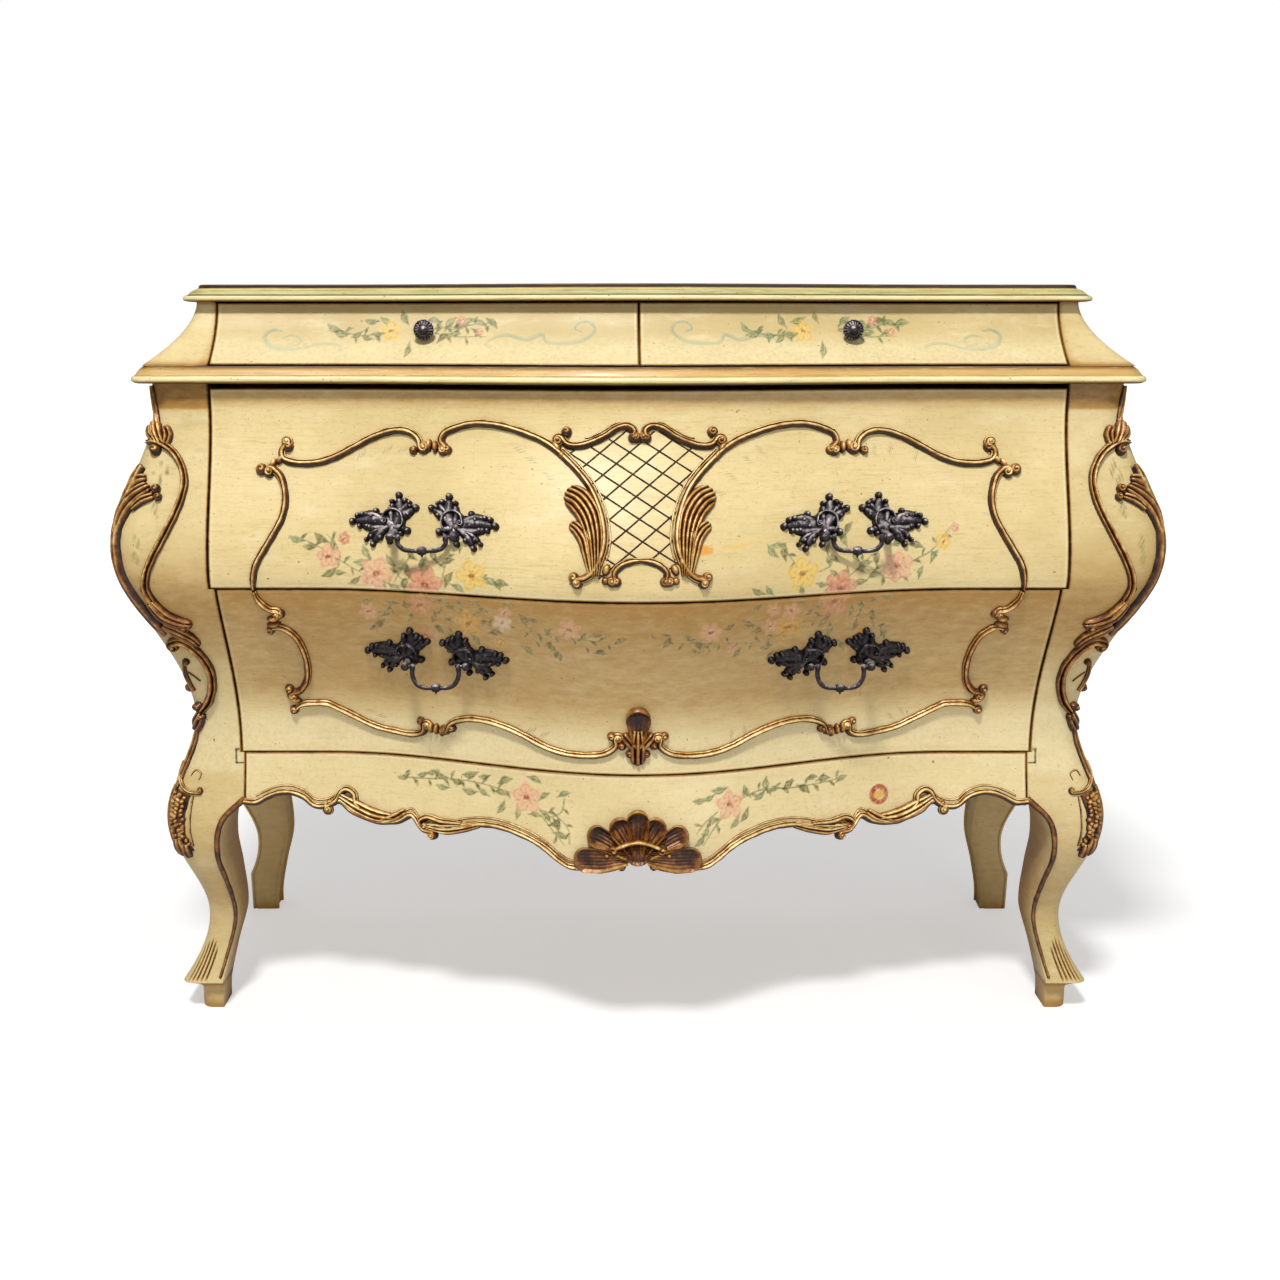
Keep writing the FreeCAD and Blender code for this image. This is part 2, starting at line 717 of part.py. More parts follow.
def leaf(foot, tip, width):
    """Face of a pointed leaf between two places."""
    a, b = Vector(foot[0], 0, foot[1]), Vector(tip[0], 0, tip[1])
    aside = Vector(a.z - b.z, 0, b.x - a.x).normalize() * (width / 2)
    corners = []
    for along, out in LEAF_SHARES:
        corners.append(a + (b - a) * along + aside * out)
    for along, out in LEAF_SHARES[-2:0:-1]:
        corners.append(a + (b - a) * along - aside * out)
    return polygon([(p.x, p.z) for p in corners])


BALL_SIDES = 8


def disc(place, radius):
    """Round ball of a scroll, seen from the front."""
    points = []
    for index in range(BALL_SIDES):
        angle = 2 * math.pi * index / BALL_SIDES
        points.append((place[0] + radius * math.cos(angle), place[1] + radius * math.sin(angle)))
    return polygon(points)


def merged(name, faces):
    """One prism through the front of several faces that may overlap."""
    near = -2 * mm("waist_line") - 2 * mm("hem_bow")
    prisms = []
    for face in faces:
        placed = face.copy()
        placed.translate(Vector(0, near, 0))
        prisms.append(placed.extrude(Vector(0, -near, 0)))
    whole = prisms[0].fuse(prisms[1:]) if len(prisms) > 1 else prisms[0]
    return solid(name, whole)


def flip(faces):
    """The faces and their images on the other side of the middle plane."""
    return faces + [face.mirror(Vector(0, 0, 0), Vector(1, 0, 0)) for face in faces]


def places(shares, wide, low, tall):
    """Places on a drawer front from shares of its half width and of its height."""
    return [(x * wide, low + z * tall) for x, z in shares]


UPPER_SIDE_SHARES = (
    (0.893, 0.02), (0.889, 0.12), (0.865, 0.21), (0.83, 0.31), (0.818, 0.44), (0.845, 0.595),
)
UPPER_CORNER_SHARES = ((0.8, 0.67), (0.76, 0.635), (0.7, 0.66), (0.62, 0.76), (0.56, 0.79), (0.51, 0.75))
UPPER_ARCH_SHARES = (
    (0.453, 0.765), (0.43, 0.8), (0.36, 0.83), (0.25, 0.78), (0.16, 0.66), (0.1, 0.5), (0.08, 0.36),
    (0.09, 0.2), (0.14, 0.125),
)
UPPER_BALL_SHARES = ((0.872, 0.6), (0.815, 0.71), (0.52, 0.69), (0.45, 0.71), (0.144, 0.15))
UPPER_CLASP_SHARES = (((0.85, 0.655), (0.82, 0.6)), ((0.5, 0.73), (0.472, 0.7)))
CARTOUCHE_TOP_SHARES = ((0.172, 0.735), (0.13, 0.745), (0.085, 0.77), (0.05, 0.81), (0.015, 0.79))
CARTOUCHE_FOOT_SHARES = ((0.055, 0.115), (0.04, 0.17), (0, 0.2))
CARTOUCHE_BALL_SHARES = ((0.16, 0.79), (0.02, 0.775), (0.05, 0.11), (0.075, 0.16))
ACANTHUS_SHARES = (
    ((0.096, 0.19), (0.169, 0.524), 0.03), ((0.1, 0.2), (0.177, 0.467), 0.028),
    ((0.1, 0.2), (0.16, 0.38), 0.026), ((0.1, 0.19), (0.131, 0.275), 0.02),
)

LOWER_SIDE_SHARES = ((0.905, 0.985), (0.893, 0.92), (0.87, 0.885), (0.85, 0.88))
LOWER_CURL_SHARES = ((0.86, 0.795), (0.83, 0.73), (0.812, 0.63), (0.813, 0.5), (0.83, 0.4), (0.858, 0.36))
LOWER_FOOT_SHARES = ((0.84, 0.285), (0.78, 0.295), (0.72, 0.25), (0.64, 0.16), (0.55, 0.13), (0.52, 0.17))
LOWER_SWEEP_SHARES = (
    (0.455, 0.215), (0.41, 0.25), (0.34, 0.24), (0.27, 0.18), (0.2, 0.12), (0.13, 0.09), (0.075, 0.12),
    (0.05, 0.17),
)
LOWER_BALL_SHARES = ((0.868, 0.41), (0.85, 0.24), (0.525, 0.2), (0.457, 0.15), (0.06, 0.21))
LOWER_CLASP_SHARES = (
    ((0.875, 0.815), (0.87, 0.77)), ((0.86, 0.33), (0.845, 0.29)), ((0.505, 0.18), (0.475, 0.21)),
)
FLEURON_LEAF_SHARES = (((0, 0.196), (0, 0.377), 0.054), ((0, 0.228), (0, 0.055), 0.046))
FLEURON_BEAD_SHARES = ((0.032, 0.214), (-0.032, 0.214))


CLASP_SHARE = 1.4


def gilt_faces(window, runs, balls, clasps):
    """Strands, scroll balls and clasps of a drawer's gilt frame, right half."""
    wide = mm("strand_width")
    faces = [strand(places(run, *window), wide) for run in runs]
    faces += [disc(place, mm("scroll_radius")) for place in places(balls, *window)]
    faces += [strand(places(pair, *window), wide * CLASP_SHARE) for pair in clasps]
    return faces


# Half width, foot and height of each long drawer's front
upper_window = (
    mm("opening_half") - mm("drawer_gap"),
    mm("upper_seam") + mm("drawer_gap") / 2,
    mm("waist_height") - mm("top_gap") - mm("upper_seam") - mm("drawer_gap"),
)
lower_window = (
    mm("opening_half") - mm("lower_inset") - mm("drawer_gap"),
    mm("lower_seam") + mm("drawer_gap") / 2,
    mm("upper_seam") - mm("lower_seam") - mm("drawer_gap"),
)
upper_runs = (UPPER_SIDE_SHARES, UPPER_CORNER_SHARES, UPPER_ARCH_SHARES)
lower_runs = (LOWER_SIDE_SHARES, LOWER_CURL_SHARES, LOWER_FOOT_SHARES, LOWER_SWEEP_SHARES)


def gilt_node(name, faces, slab, over=None):
    """Both halves of some carving in one layer of the front, let round what it runs over."""
    whole = common(name if over is None else name + "_whole", slab, merged(name + "_prism", flip(faces)))
    return keep(whole if over is None else cut(name, whole, over))


upper_frame = gilt_node(
    "upper_frame_moulding",
    gilt_faces(upper_window, upper_runs, UPPER_BALL_SHARES, UPPER_CLASP_SHARES),
    relief_layer,
)
gilt_node(
    "lower_frame_moulding",
    gilt_faces(lower_window, lower_runs, LOWER_BALL_SHARES, LOWER_CLASP_SHARES),
    relief_layer,
)


def cartouche_faces():
    """Scrolls that crown and close the lattice panel, right half."""
    wide = mm("strand_width")
    faces = [strand(places(CARTOUCHE_TOP_SHARES, *upper_window), wide)]
    faces.append(strand(places(CARTOUCHE_FOOT_SHARES, *upper_window), wide))
    faces += [disc(place, mm("scroll_radius")) for place in places(CARTOUCHE_BALL_SHARES, *upper_window)]
    return faces


def leaf_faces(shares, window):
    """Leaves from shares of a drawer front: foot, tip and width."""
    half = window[0]
    faces = []
    for foot, tip, width in shares:
        faces.append(leaf(*places((foot, tip), *window), width * half))
    return faces


gilt_node("cartouche", cartouche_faces(), relief_layer, upper_frame)
gilt_node("acanthus_leaves", leaf_faces(ACANTHUS_SHARES, upper_window), leaf_layer, upper_frame)


fleuron_faces = leaf_faces(FLEURON_LEAF_SHARES, lower_window)
for bead in places(FLEURON_BEAD_SHARES, *lower_window):
    fleuron_faces.append(disc(bead, mm("scroll_radius") / 2))
keep(common("fleuron", leaf_layer, merged("fleuron_prism", fleuron_faces)))


# Shell and gilt edge of the apron

SHELL_LOBES = 7
LOBE_SIDES = 4
SHELL_START = math.radians(-8)
SHELL_SWEEP = math.radians(196)
SHELL_DEPTH_SHARE = 0.12
RIB_SHARE = 0.62
RIB_CORNER_SHARES = ((0.22, -1), (0.88, -1), (0.96, 0), (0.88, 1), (0.22, 1))


def shell_face():
    """Outline of the shell: lobes on an ellipse round its root."""
    points = []
    for index in range(SHELL_LOBES * LOBE_SIDES + 1):
        turn = SHELL_SWEEP * index / (SHELL_LOBES * LOBE_SIDES)
        way = 2 * (index % LOBE_SIDES) / LOBE_SIDES - 1
        reach = 1 - SHELL_DEPTH_SHARE * way * way
        x = mm("shell_half") * reach * math.cos(SHELL_START + turn)
        points.append((x, mm("shell_root") + mm("shell_rise") * reach * math.sin(SHELL_START + turn)))
    return polygon(points + [(0, mm("shell_root"))])


def rib_faces():
    """Ribs of the shell: wedges from near its root to the tip of each lobe."""
    faces = []
    for index in range(SHELL_LOBES):
        angle = SHELL_START + SHELL_SWEEP * (index + 0.5) / SHELL_LOBES
        half = SHELL_SWEEP / SHELL_LOBES * RIB_SHARE / 2
        points = []
        for reach, spread in RIB_CORNER_SHARES:
            x = mm("shell_half") * reach * math.cos(angle + half * spread)
            z = mm("shell_root") + mm("shell_rise") * reach * math.sin(angle + half * spread)
            points.append((x, z))
        faces.append(polygon(points))
    return faces


shell_prism = through("shell_prism", shell_face())
shell_ground = common("shell_ground_slab", shell_ground_layer, shell_prism)
shell_ribs = common("shell_ribs", shell_rib_layer, merged("shell_rib_prism", rib_faces()))
keep(fuse("apron_shell", [shell_ground, shell_ribs]))


EDGE_SET_SHARE = 0.6


def edge_faces():
    """Gilt edge along the apron's lower edge, right half, from the leg to the shell."""
    width = mm("edge_width")
    points = [p for p in apron_points() if p.x > mm("shell_half")]
    raised = [(p.x, p.z + width * EDGE_SET_SHARE) for p in points]
    raised[0] = (raised[0][0] - width / 2, raised[0][1])
    return [strand(raised, width)]


apron_edge = common("apron_edge", relief_layer, merged("apron_edge_prism", flip(edge_faces())))
keep(cut("apron_moulding", apron_edge, shell_prism))


# Carving on the corner posts and gilt edge of the legs

POST_INNER_SHARES = (
    (0.98, 0.91), (0.955, 0.93), (0.93, 0.885), (0.91, 0.81), (0.905, 0.72), (0.918, 0.62), (0.945, 0.52),
    (0.972, 0.42), (0.975, 0.35), (0.96, 0.27), (0.935, 0.18),
)
POST_LOWER_SHARES = ((0.915, 0), (0.902, -0.1), (0.903, -0.22), (0.915, -0.32), (0.94, -0.4))


def post_places(shares):
    """Places on a post: shares of the case's half width there, and of the height above the upper neck."""
    low = mm("side_neck_height") + (mm("upper_seam") - mm("side_neck_height")) / 2
    tall = mm("shoulder_height") - low
    placed = []
    for wide, rise in shares:
        height = low + tall * rise
        placed.append((side_at(height) * wide, height))
    return placed


grown_block = layer("grown_block", lower_surface, "case_back + waist_line", "carve_relief")
grown_prism = through("grown_prism", post_outline(mm("carve_relief")))
grown_cant = cant_prism("grown_cant", mm("carve_relief"))
grown_post = common("grown_post", grown_block, grown_prism, post_side, grown_cant)
carve_layer = cut("carve_layer", grown_post, right_post)


def leg_edge_face():
    """Gilt edge that carries on from the apron's down the inner edge of the leg's front."""
    width = mm("edge_width")
    points = leg_inside(mm("opening_half") - mm("lower_inset") - mm("apron_inset"))
    return strand([(p.x + width * EDGE_SET_SHARE, p.z) for p in points[1:-1]], width)


def before_post(name, faces):
    """Prism of the faces, as deep as the posts' front half, so that it leaves the rear posts alone."""
    near = -2 * mm("waist_line")
    prisms = []
    for face in faces:
        placed = face.copy()
        placed.translate(Vector(0, near, 0))
        prisms.append(placed.extrude(Vector(0, mm("post_depth") - mm("waist_line") - near, 0)))
    return solid(name, prisms[0].fuse(prisms[1:]) if prisms[1:] else prisms[0])


carving_faces = [
    strand(post_places(POST_INNER_SHARES), mm("strand_width")),
    strand(post_places(POST_LOWER_SHARES), mm("strand_width")),
]
carving = keep(common("right_post_carving", carve_layer, before_post("carving_prism", carving_faces)))
keep(mirrored("left_post_carving", carving))
leg_edge = keep(common("right_leg_moulding", carve_layer, before_post("leg_edge_prism", [leg_edge_face()])))
keep(mirrored("left_leg_moulding", leg_edge))


# Carcase boards

LOWER_HALF = "opening_half - lower_inset"
floor_board = board(
    "floor_board",
    (f"-({LOWER_HALF} - apron_inset)", f"{LOWER_HALF} - apron_inset"),
    ("-2 * waist_line", "case_back - back_recess"),
    ("lower_seam - drawer_gap - floor_thick", "lower_seam - drawer_gap"),
)
keep(cut("case_bottom", floor_board, lower_void))

rail_board = board(
    "rail_board",
    (f"-({LOWER_HALF})", LOWER_HALF),
    ("-2 * waist_line", "-waist_line + rail_depth"),
    ("upper_seam - drawer_gap - rail_thick", "upper_seam - drawer_gap"),
)
keep(cut("drawer_rail", rail_board, rail_void))

keep(board(
    "back_panel",
    (f"-({LOWER_HALF})", LOWER_HALF),
    ("case_back - back_recess - back_thick", "case_back - back_recess"),
    ("lower_seam", "waist_height"),
))


BOARD_SHARES = (-1, -0.8, -0.62, -0.41, -0.2, 0, 0.2, 0.41, 0.62, 0.8, 1)


def moulded_board(name, half, forward, bow, profile):
    """Board with a moulded edge at its front and ends: sections of the plan, one over the other."""
    sections = []
    for index, (height, offset) in enumerate(profile):
        radius = mm("moulding_corner")
        side = half + offset
        inner = side - radius
        line = -mm("waist_line") - forward - offset

        def front(x):
            return line - bow * bow_share(x)

        curve = smooth([Vector(inner * share, front(inner * share), height) for share in BOARD_SHARES])
        back = mm("case_back")
        corner = radius * (1 - 1 / math.sqrt(2))
        right = Part.Arc(
            Vector(inner, line, height),
            Vector(side - corner, line + corner, height),
            Vector(side, line + radius, height),
        )
        left = Part.Arc(
            Vector(-inner, line, height),
            Vector(-side + corner, line + corner, height),
            Vector(-side, line + radius, height),
        )
        sides = lines([
            Vector(side, line + radius, height), Vector(side, back, height),
            Vector(-side, back, height), Vector(-side, line + radius, height),
        ])
        wire = Part.Wire(Part.__sortEdges__([curve, right.toShape(), left.toShape()] + sides))
        sections.append(solid(f"{name}_section_{index}", wire))
    item = doc.addObject("Part::Loft", name)
    item.Sections = sections
    item.Solid = True
    item.Ruled = True
    return keep(item)


# Edge profiles from the underside up: shares of the thickness and of the nose
WAIST_PROFILE_SHARES = (
    (0, 0.76), (0.1, 0.94), (0.35, 1), (0.5, 0.85), (0.54, 0.6), (0.78, 0.28), (0.92, 0.14), (1, 0.12),
)
TOP_PROFILE_SHARES = (
    (0, 0.5), (0.06, 1), (0.3, 1), (0.36, 0.72), (0.58, 0.5), (0.72, 0.1), (0.8, -0.25), (1, -0.33),
)


def edge_profile(shares, foot, thick, nose):
    return [(foot + thick * rise, nose * out) for rise, out in shares]


moulded_board(
    "waist_top",
    mm("upper_foot_half"),
    -mm("upper_foot_back"),
    mm("waist_bow"),
    edge_profile(WAIST_PROFILE_SHARES, mm("waist_height"), mm("waist_top_thick"), mm("waist_nose")),
)
moulded_board(
    "top_board",
    mm("upper_half"),
    -mm("upper_back_set"),
    mm("upper_bow"),
    edge_profile(
        TOP_PROFILE_SHARES, mm("top_underside"), mm("top_height") - mm("top_underside"), mm("top_nose")
    ),
)


# Top tier

def cheek_face():
    """Front view of the right end of the top tier, with its hollow outer edge."""
    foot, top = mm("waist_height") + mm("waist_top_thick"), mm("top_underside")
    outer = []
    for z in steps(foot, top, COVE_STEPS):
        outer.append(Vector(cove(z, mm("upper_half"), mm("upper_foot_half")), 0, z))
    corners = [outer[-1], Vector(mm("opening_half"), 0, top), Vector(mm("opening_half"), 0, foot), outer[0]]
    return closed_face(lines(outer) + lines(corners))


cheek_prism = through("cheek_prism", cheek_face())
cheek = keep(common("upper_right_cheek", upper_block, cheek_prism))
keep(mirrored("upper_left_cheek", cheek))

UPPER_FOOT = "waist_height + waist_top_thick"
divider_board = board(
    "divider_board",
    ("-divider_thick / 2", "divider_thick / 2"),
    ("-2 * waist_line", "case_back - upper_back_thick"),
    (UPPER_FOOT, "top_underside"),
)
keep(cut("upper_divider", divider_board, upper_case_void))
keep(board(
    "upper_back",
    ("-opening_half", "opening_half"),
    ("case_back - upper_back_thick", "case_back"),
    (UPPER_FOOT, "top_underside"),
))


# Runners and glue blocks

def runner(name, half, foot, side):
    """Runner with its guide, under and beside one side of a long drawer; foot is the drawer side's."""
    edge = f"{half} - box_inset + slide_gap"
    low, high = f"{edge} - side_thick - runner_width / 8", f"{edge} + runner_width - runner_width / 3"
    spans = (low, high), (edge, high)
    if side < 0:
        spans = (f"-({high})", f"-({low})"), (f"-({high})", f"-({edge})")
    depth = ("post_depth - waist_line", "case_back - rear_post_depth")
    top = f"{foot} - slide_gap"
    flat = board(name + "_flat", spans[0], depth, (f"{top} - runner_thick", top))
    guide = board(name + "_guide", spans[1], depth, (top, f"{top} + guide_height"))
    return fuse(name, [flat, guide])


UPPER_FOOT_OF_SIDE = "upper_seam + box_rise"
LOWER_FOOT_OF_SIDE = "lower_seam + box_rise"
runners = []
for side_name, sign in (("right", 1), ("left", -1)):
    runners.append(runner(f"{side_name}_upper_runner", "opening_half", UPPER_FOOT_OF_SIDE, sign))
    runners.append(runner(f"{side_name}_lower_runner", LOWER_HALF, LOWER_FOOT_OF_SIDE, sign))
runner_group = doc.addObject("Part::Compound", "drawer_runners")
runner_group.Links = runners
keep(runner_group)

BLOCK_SHARES = (-1, -0.5, 0.5, 1)
blocks = []
for index, share in enumerate(BLOCK_SHARES, start=1):
    block = board(
        f"block_board_{index}",
        (f"{share} * block_spread - block_side / 2", f"{share} * block_spread + block_side / 2"),
        ("-2 * waist_line", "-waist_line + front_thick + 2 * block_side"),
        ("lower_seam - drawer_gap - floor_thick - block_side", "lower_seam - drawer_gap - floor_thick"),
    )
    blocks.append(cut(f"block_{index}", block, lower_void))
block_group = doc.addObject("Part::Compound", "glue_blocks")
block_group.Links = blocks
keep(block_group)


# Drawers

def long_drawer(name, half, low, high):
    """Front, two sides, back and bottom of a long drawer; low and high bound its opening."""
    front = board(
        name + "_window",
        (f"-({half} - drawer_gap)", f"{half} - drawer_gap"),
        ("-3 * waist_line", "case_back"),
        (f"{low} + drawer_gap / 2", f"{high} - drawer_gap / 2"),
    )
    block = common(name + "_front_block", lower_block, front)
    keep(cut(name + "_front", block, inner_block))
    outer = f"{half} - box_inset"
    foot, top = f"{low} + box_rise", f"{high} - box_drop"
    inner = f"{outer} - side_thick"
    depth = ("-2 * waist_line", "box_end")
    right = board(name + "_right_board", (inner, outer), depth, (foot, top))
    left = board(name + "_left_board", (f"-({outer})", f"-({inner})"), depth, (foot, top))
    base = board(
        name + "_bottom_board",
        (f"-({inner})", inner),
        ("-2 * waist_line", "box_end - side_thick"),
        (f"{foot} + bottom_rise", f"{foot} + bottom_rise + bottom_thick"),
    )
    keep(cut(name + "_right_side", right, lower_void))
    keep(cut(name + "_left_side", left, lower_void))
    keep(cut(name + "_bottom", base, lower_void))
    keep(board(name + "_back", (f"-({inner})", inner), ("box_end - side_thick", "box_end"), (foot, top)))


long_drawer("upper_long_drawer", "opening_half", "upper_seam", "waist_height - top_gap")
long_drawer("lower_long_drawer", LOWER_HALF, "lower_seam", "upper_seam")


def spans_on(side, inner, outer):
    """A span across the width on the right or, mirrored, on the left of the middle plane."""
    return (inner, outer) if side > 0 else (f"-({outer})", f"-({inner})")


def small_drawer(name, side):
    """Front, two sides, back and bottom of a small drawer in the top tier."""
    front = board(
        name + "_window",
        spans_on(side, "drawer_gap / 2", "opening_half - drawer_gap"),
        ("-3 * waist_line", "case_back"),
        (f"{UPPER_FOOT} + drawer_gap", "top_underside - drawer_gap"),
    )
    block = common(name + "_front_block", upper_block, front)
    keep(cut(name + "_front", block, upper_inner_block))
    near, far = "divider_thick / 2 + drawer_gap", "opening_half - box_inset"
    foot, top = f"{UPPER_FOOT} + slide_gap", "top_underside - small_drop"
    depth = ("-2 * waist_line", "box_end")
    sides = (
        ("_inner_side", near, f"{near} + small_side_thick"),
        ("_outer_side", f"{far} - small_side_thick", far),
    )
    for suffix, low, high in sides:
        plank = board(name + suffix + "_board", spans_on(side, low, high), depth, (foot, top))
        keep(cut(name + suffix, plank, upper_void))
    inside = spans_on(side, f"{near} + small_side_thick", f"{far} - small_side_thick")
    base = board(
        name + "_bottom_board",
        inside,
        ("-2 * waist_line", "box_end - small_side_thick"),
        (f"{foot} + small_rise", f"{foot} + small_rise + bottom_thick"),
    )
    keep(cut(name + "_bottom", base, upper_void))
    keep(board(name + "_back", inside, ("box_end - small_side_thick", "box_end"), (foot, top)))


small_drawer("right_small_drawer", 1)
small_drawer("left_small_drawer", -1)


# Handles: two leafy plates with a boss each, and a bail that swings between them

# One plate's leafy outline, from its inner tip round by its top: shares of its half width and height
PLATE_SHARES = (
    (-1, 0.42), (-0.72, 0.62), (-0.45, 0.98), (-0.22, 0.62), (0.2, 0.4), (0.32, 0.12), (0.6, 0.22),
    (0.98, -0.18), (0.75, -0.42), (0.35, -0.48), (0.34, -0.98), (0, -0.5), (-0.16, -0.92), (-0.35, -0.55),
    (-0.76, -0.48), (-0.52, -0.1),
)


def ground_at(across_place, height):
    """Y of the front surface at a place."""
    return -mm("waist_line") - front_at(height) - bow_at(height) * bow_share(across_place)


def pin_place(out, height):
    """Middle of a bail's pin line."""
    low = height - mm("pin_drop")
    return Vector(out, ground_at(out, low) - mm("pin_out"), low)


def plate_faces(out, height):
    """Outlines of a handle's two plates, each the other's mirror image."""
    faces = []
    for sign in (-1, 1):
        middle = out + sign * mm("plate_spread")
        points = []
        for outward, rise in PLATE_SHARES:
            x = middle + sign * outward * mm("plate_half")
            points.append((x, height + rise * mm("plate_half_height")))
        faces.append(polygon(points))
    return faces


def ring(middle, first, second, sides):
    """Corners of a regular outline round a place; first and second are its two half axes."""
    corners = []
    for index in range(sides):
        angle = 2 * math.pi * (index + 0.5) / sides
        corners.append(middle + first * math.cos(angle) + second * math.sin(angle))
    return corners


def stacked(rings):
    """Solid through rings of corners, with a flat face between each two neighbours."""
    faces = []
    for ends in (rings[0], rings[-1]):
        faces.append(Part.Face(Part.makePolygon(ends + ends[:1])))
    for low, high in zip(rings, rings[1:]):
        for index in range(len(low)):
            after = (index + 1) % len(low)
            corners = [low[index], low[after], high[after], high[index], low[index]]
            faces.append(Part.Face(Part.makePolygon(corners)))
    shape = Part.Solid(Part.Shell(faces))
    return shape if shape.Volume > 0 else shape.reversed()


def turned(stations, first, second, sides):
    """Solid with straight sides through rings: stations are (place, radius)."""
    return stacked([ring(place, first * r, second * r, sides) for place, r in stations])


TURNING_SIDES = 8
POST_SHARE = 10


def boss(out, height, sign):
    """Boss that stands out from a plate and holds one end of the bail's pin."""
    radius = mm("boss_radius")
    pin = pin_place(out, height)
    place = pin + Vector(sign * (mm("pin_spread") + radius), 0, 0)
    forward, aside, up = Vector(0, -radius, 0), Vector(radius, 0, 0), Vector(0, 0, 1)
    stations = [(place + forward, radius), (place - forward * POST_SHARE, radius)]
    post = turned(stations, aside / radius, up, TURNING_SIDES)
    bore = Part.makeCylinder(mm("pin_radius") + mm("pin_gap"), 4 * radius, place - aside * 2, Vector(1, 0, 0))
    return post.cut(bore)


def handle_plates(name, out, height):
    """The four plates of one drawer's two handles."""
    faces = plate_faces(out, height) + plate_faces(-out, height)
    plates = common(name + "_flat", plate_layer, merged(name + "_prism", faces))
    bosses = []
    for sign in (-1, 1):
        bosses += [boss(out, height, sign), boss(-out, height, sign)]
    stems = cut(name + "_stems", solid(name + "_bosses", Part.makeCompound(bosses)), lower_block)
    return keep(fuse(name, [plates, stems]))


handle_plates("upper_handle_plates", mm("handle_out"), mm("handle_height"))
handle_plates("lower_handle_plates", mm("lower_handle_out"), mm("lower_handle_height"))


ROD_SIDES = 6
BEND_SIDES = 3
KNOP_SHARES = ((-1, 0.45), (-0.45, 1), (0.45, 1), (1, 0.45))


def bail_path(half, drop, bend, top):
    """Places down one arm of a bail, across its foot and up the other arm."""
    arm = [Vector(half, 0, top)]
    for index in range(BEND_SIDES + 1):
        angle = math.pi / 2 * index / BEND_SIDES
        arm.append(Vector(half - bend + bend * math.cos(angle), 0, bend - drop - bend * math.sin(angle)))
    return arm + [Vector(-p.x, 0, p.z) for p in reversed(arm)]


def rod(path, radius, sides):
    """Straight-sided rod along a path in a plane of constant y, mitred at each bend."""
    ways = [(b - a).normalize() for a, b in zip(path, path[1:])]
    rings = []
    for place, before, after in zip(path, [ways[0]] + ways, ways + [ways[-1]]):
        along = (before + after).normalize()
        aside = Vector(-along.z, 0, along.x) * (radius / along.dot(after))
        rings.append(ring(place, aside, Vector(0, radius, 0), sides))
    return stacked(rings)


def bail(name, out, height):
    """Rod bent into a bail, with a pin at each end and a turned knop at its middle."""
    radius, drop, knop = mm("bail_radius"), mm("bail_drop"), mm("knop_radius")
    half = mm("pin_spread") - 2 * mm("pin_gap") - radius
    bent = rod(bail_path(half, drop, mm("bail_bend"), radius), radius, ROD_SIDES)
    back, up = Vector(0, 1, 0), Vector(0, 0, 1)
    pieces = []
    for sign in (-1, 1):
        end = mm("pin_spread") + 2 * mm("boss_radius")
        start = Vector(sign * half, 0, 0)
        pieces.append(Part.makeCylinder(mm("pin_radius"), end - half, start, Vector(sign, 0, 0)))
    stations = [(Vector(x * knop, 0, -drop), out_share * knop) for x, out_share in KNOP_SHARES]
    pieces.append(turned(stations, back, up, TURNING_SIDES))
    whole = bent.fuse(pieces)
    whole.translate(pin_place(out, height))
    return keep(solid(name, whole))


bail("upper_right_bail", mm("handle_out"), mm("handle_height"))
bail("upper_left_bail", -mm("handle_out"), mm("handle_height"))
bail("lower_right_bail", mm("lower_handle_out"), mm("lower_handle_height"))
bail("lower_left_bail", -mm("lower_handle_out"), mm("lower_handle_height"))


# Knobs

KNOB_SHARES = ((0.44, -0.4), (0.44, 0.5), (0.96, 0.6), (1, 0.78), (0.6, 0.92), (0.25, 1))
KNOB_SIDES = 14


def knob(name, side):
    """Turned knob on the middle of a small drawer's front."""
    place = side * (mm("opening_half") - mm("drawer_gap") / 2) / 2
    front = -mm("waist_line") - cove_at(mm("knob_height")) - mm("upper_bow") * bow_share(place)
    ground = Vector(place, front, mm("knob_height"))
    stations = []
    for wide, along in KNOB_SHARES:
        stations.append((ground - Vector(0, mm("knob_reach") * along, 0), mm("knob_radius") * wide))
    shape = turned(stations, Vector(1, 0, 0), Vector(0, 0, 1), KNOB_SIDES)
    return keep(cut(name, solid(name + "_turning", shape), upper_block))


knob("right_knob", 1)
knob("left_knob", -1)


# Check and write

doc.recompute()
faults = []
for item in doc.Objects:
    if "Invalid" in item.State or "Error" in item.State:
        faults.append(f"{item.Label}: {item.State}")
for item in PARTS:
    if item.Shape.isNull() or not item.Shape.isValid() or not item.Shape.Solids:
        faults.append(f"{item.Label}: no valid solid")
if faults:
    raise RuntimeError("; ".join(faults))

os.makedirs("parts", exist_ok=True)
for item in PARTS:
    item.Shape.exportStep(os.path.join("parts", item.Label + ".step"))
print(len(PARTS), "pieces written")
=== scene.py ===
"""Looks of a painted and gilt chest of drawers on cabriole legs. Sizes here are in millimetres."""
import math
import random

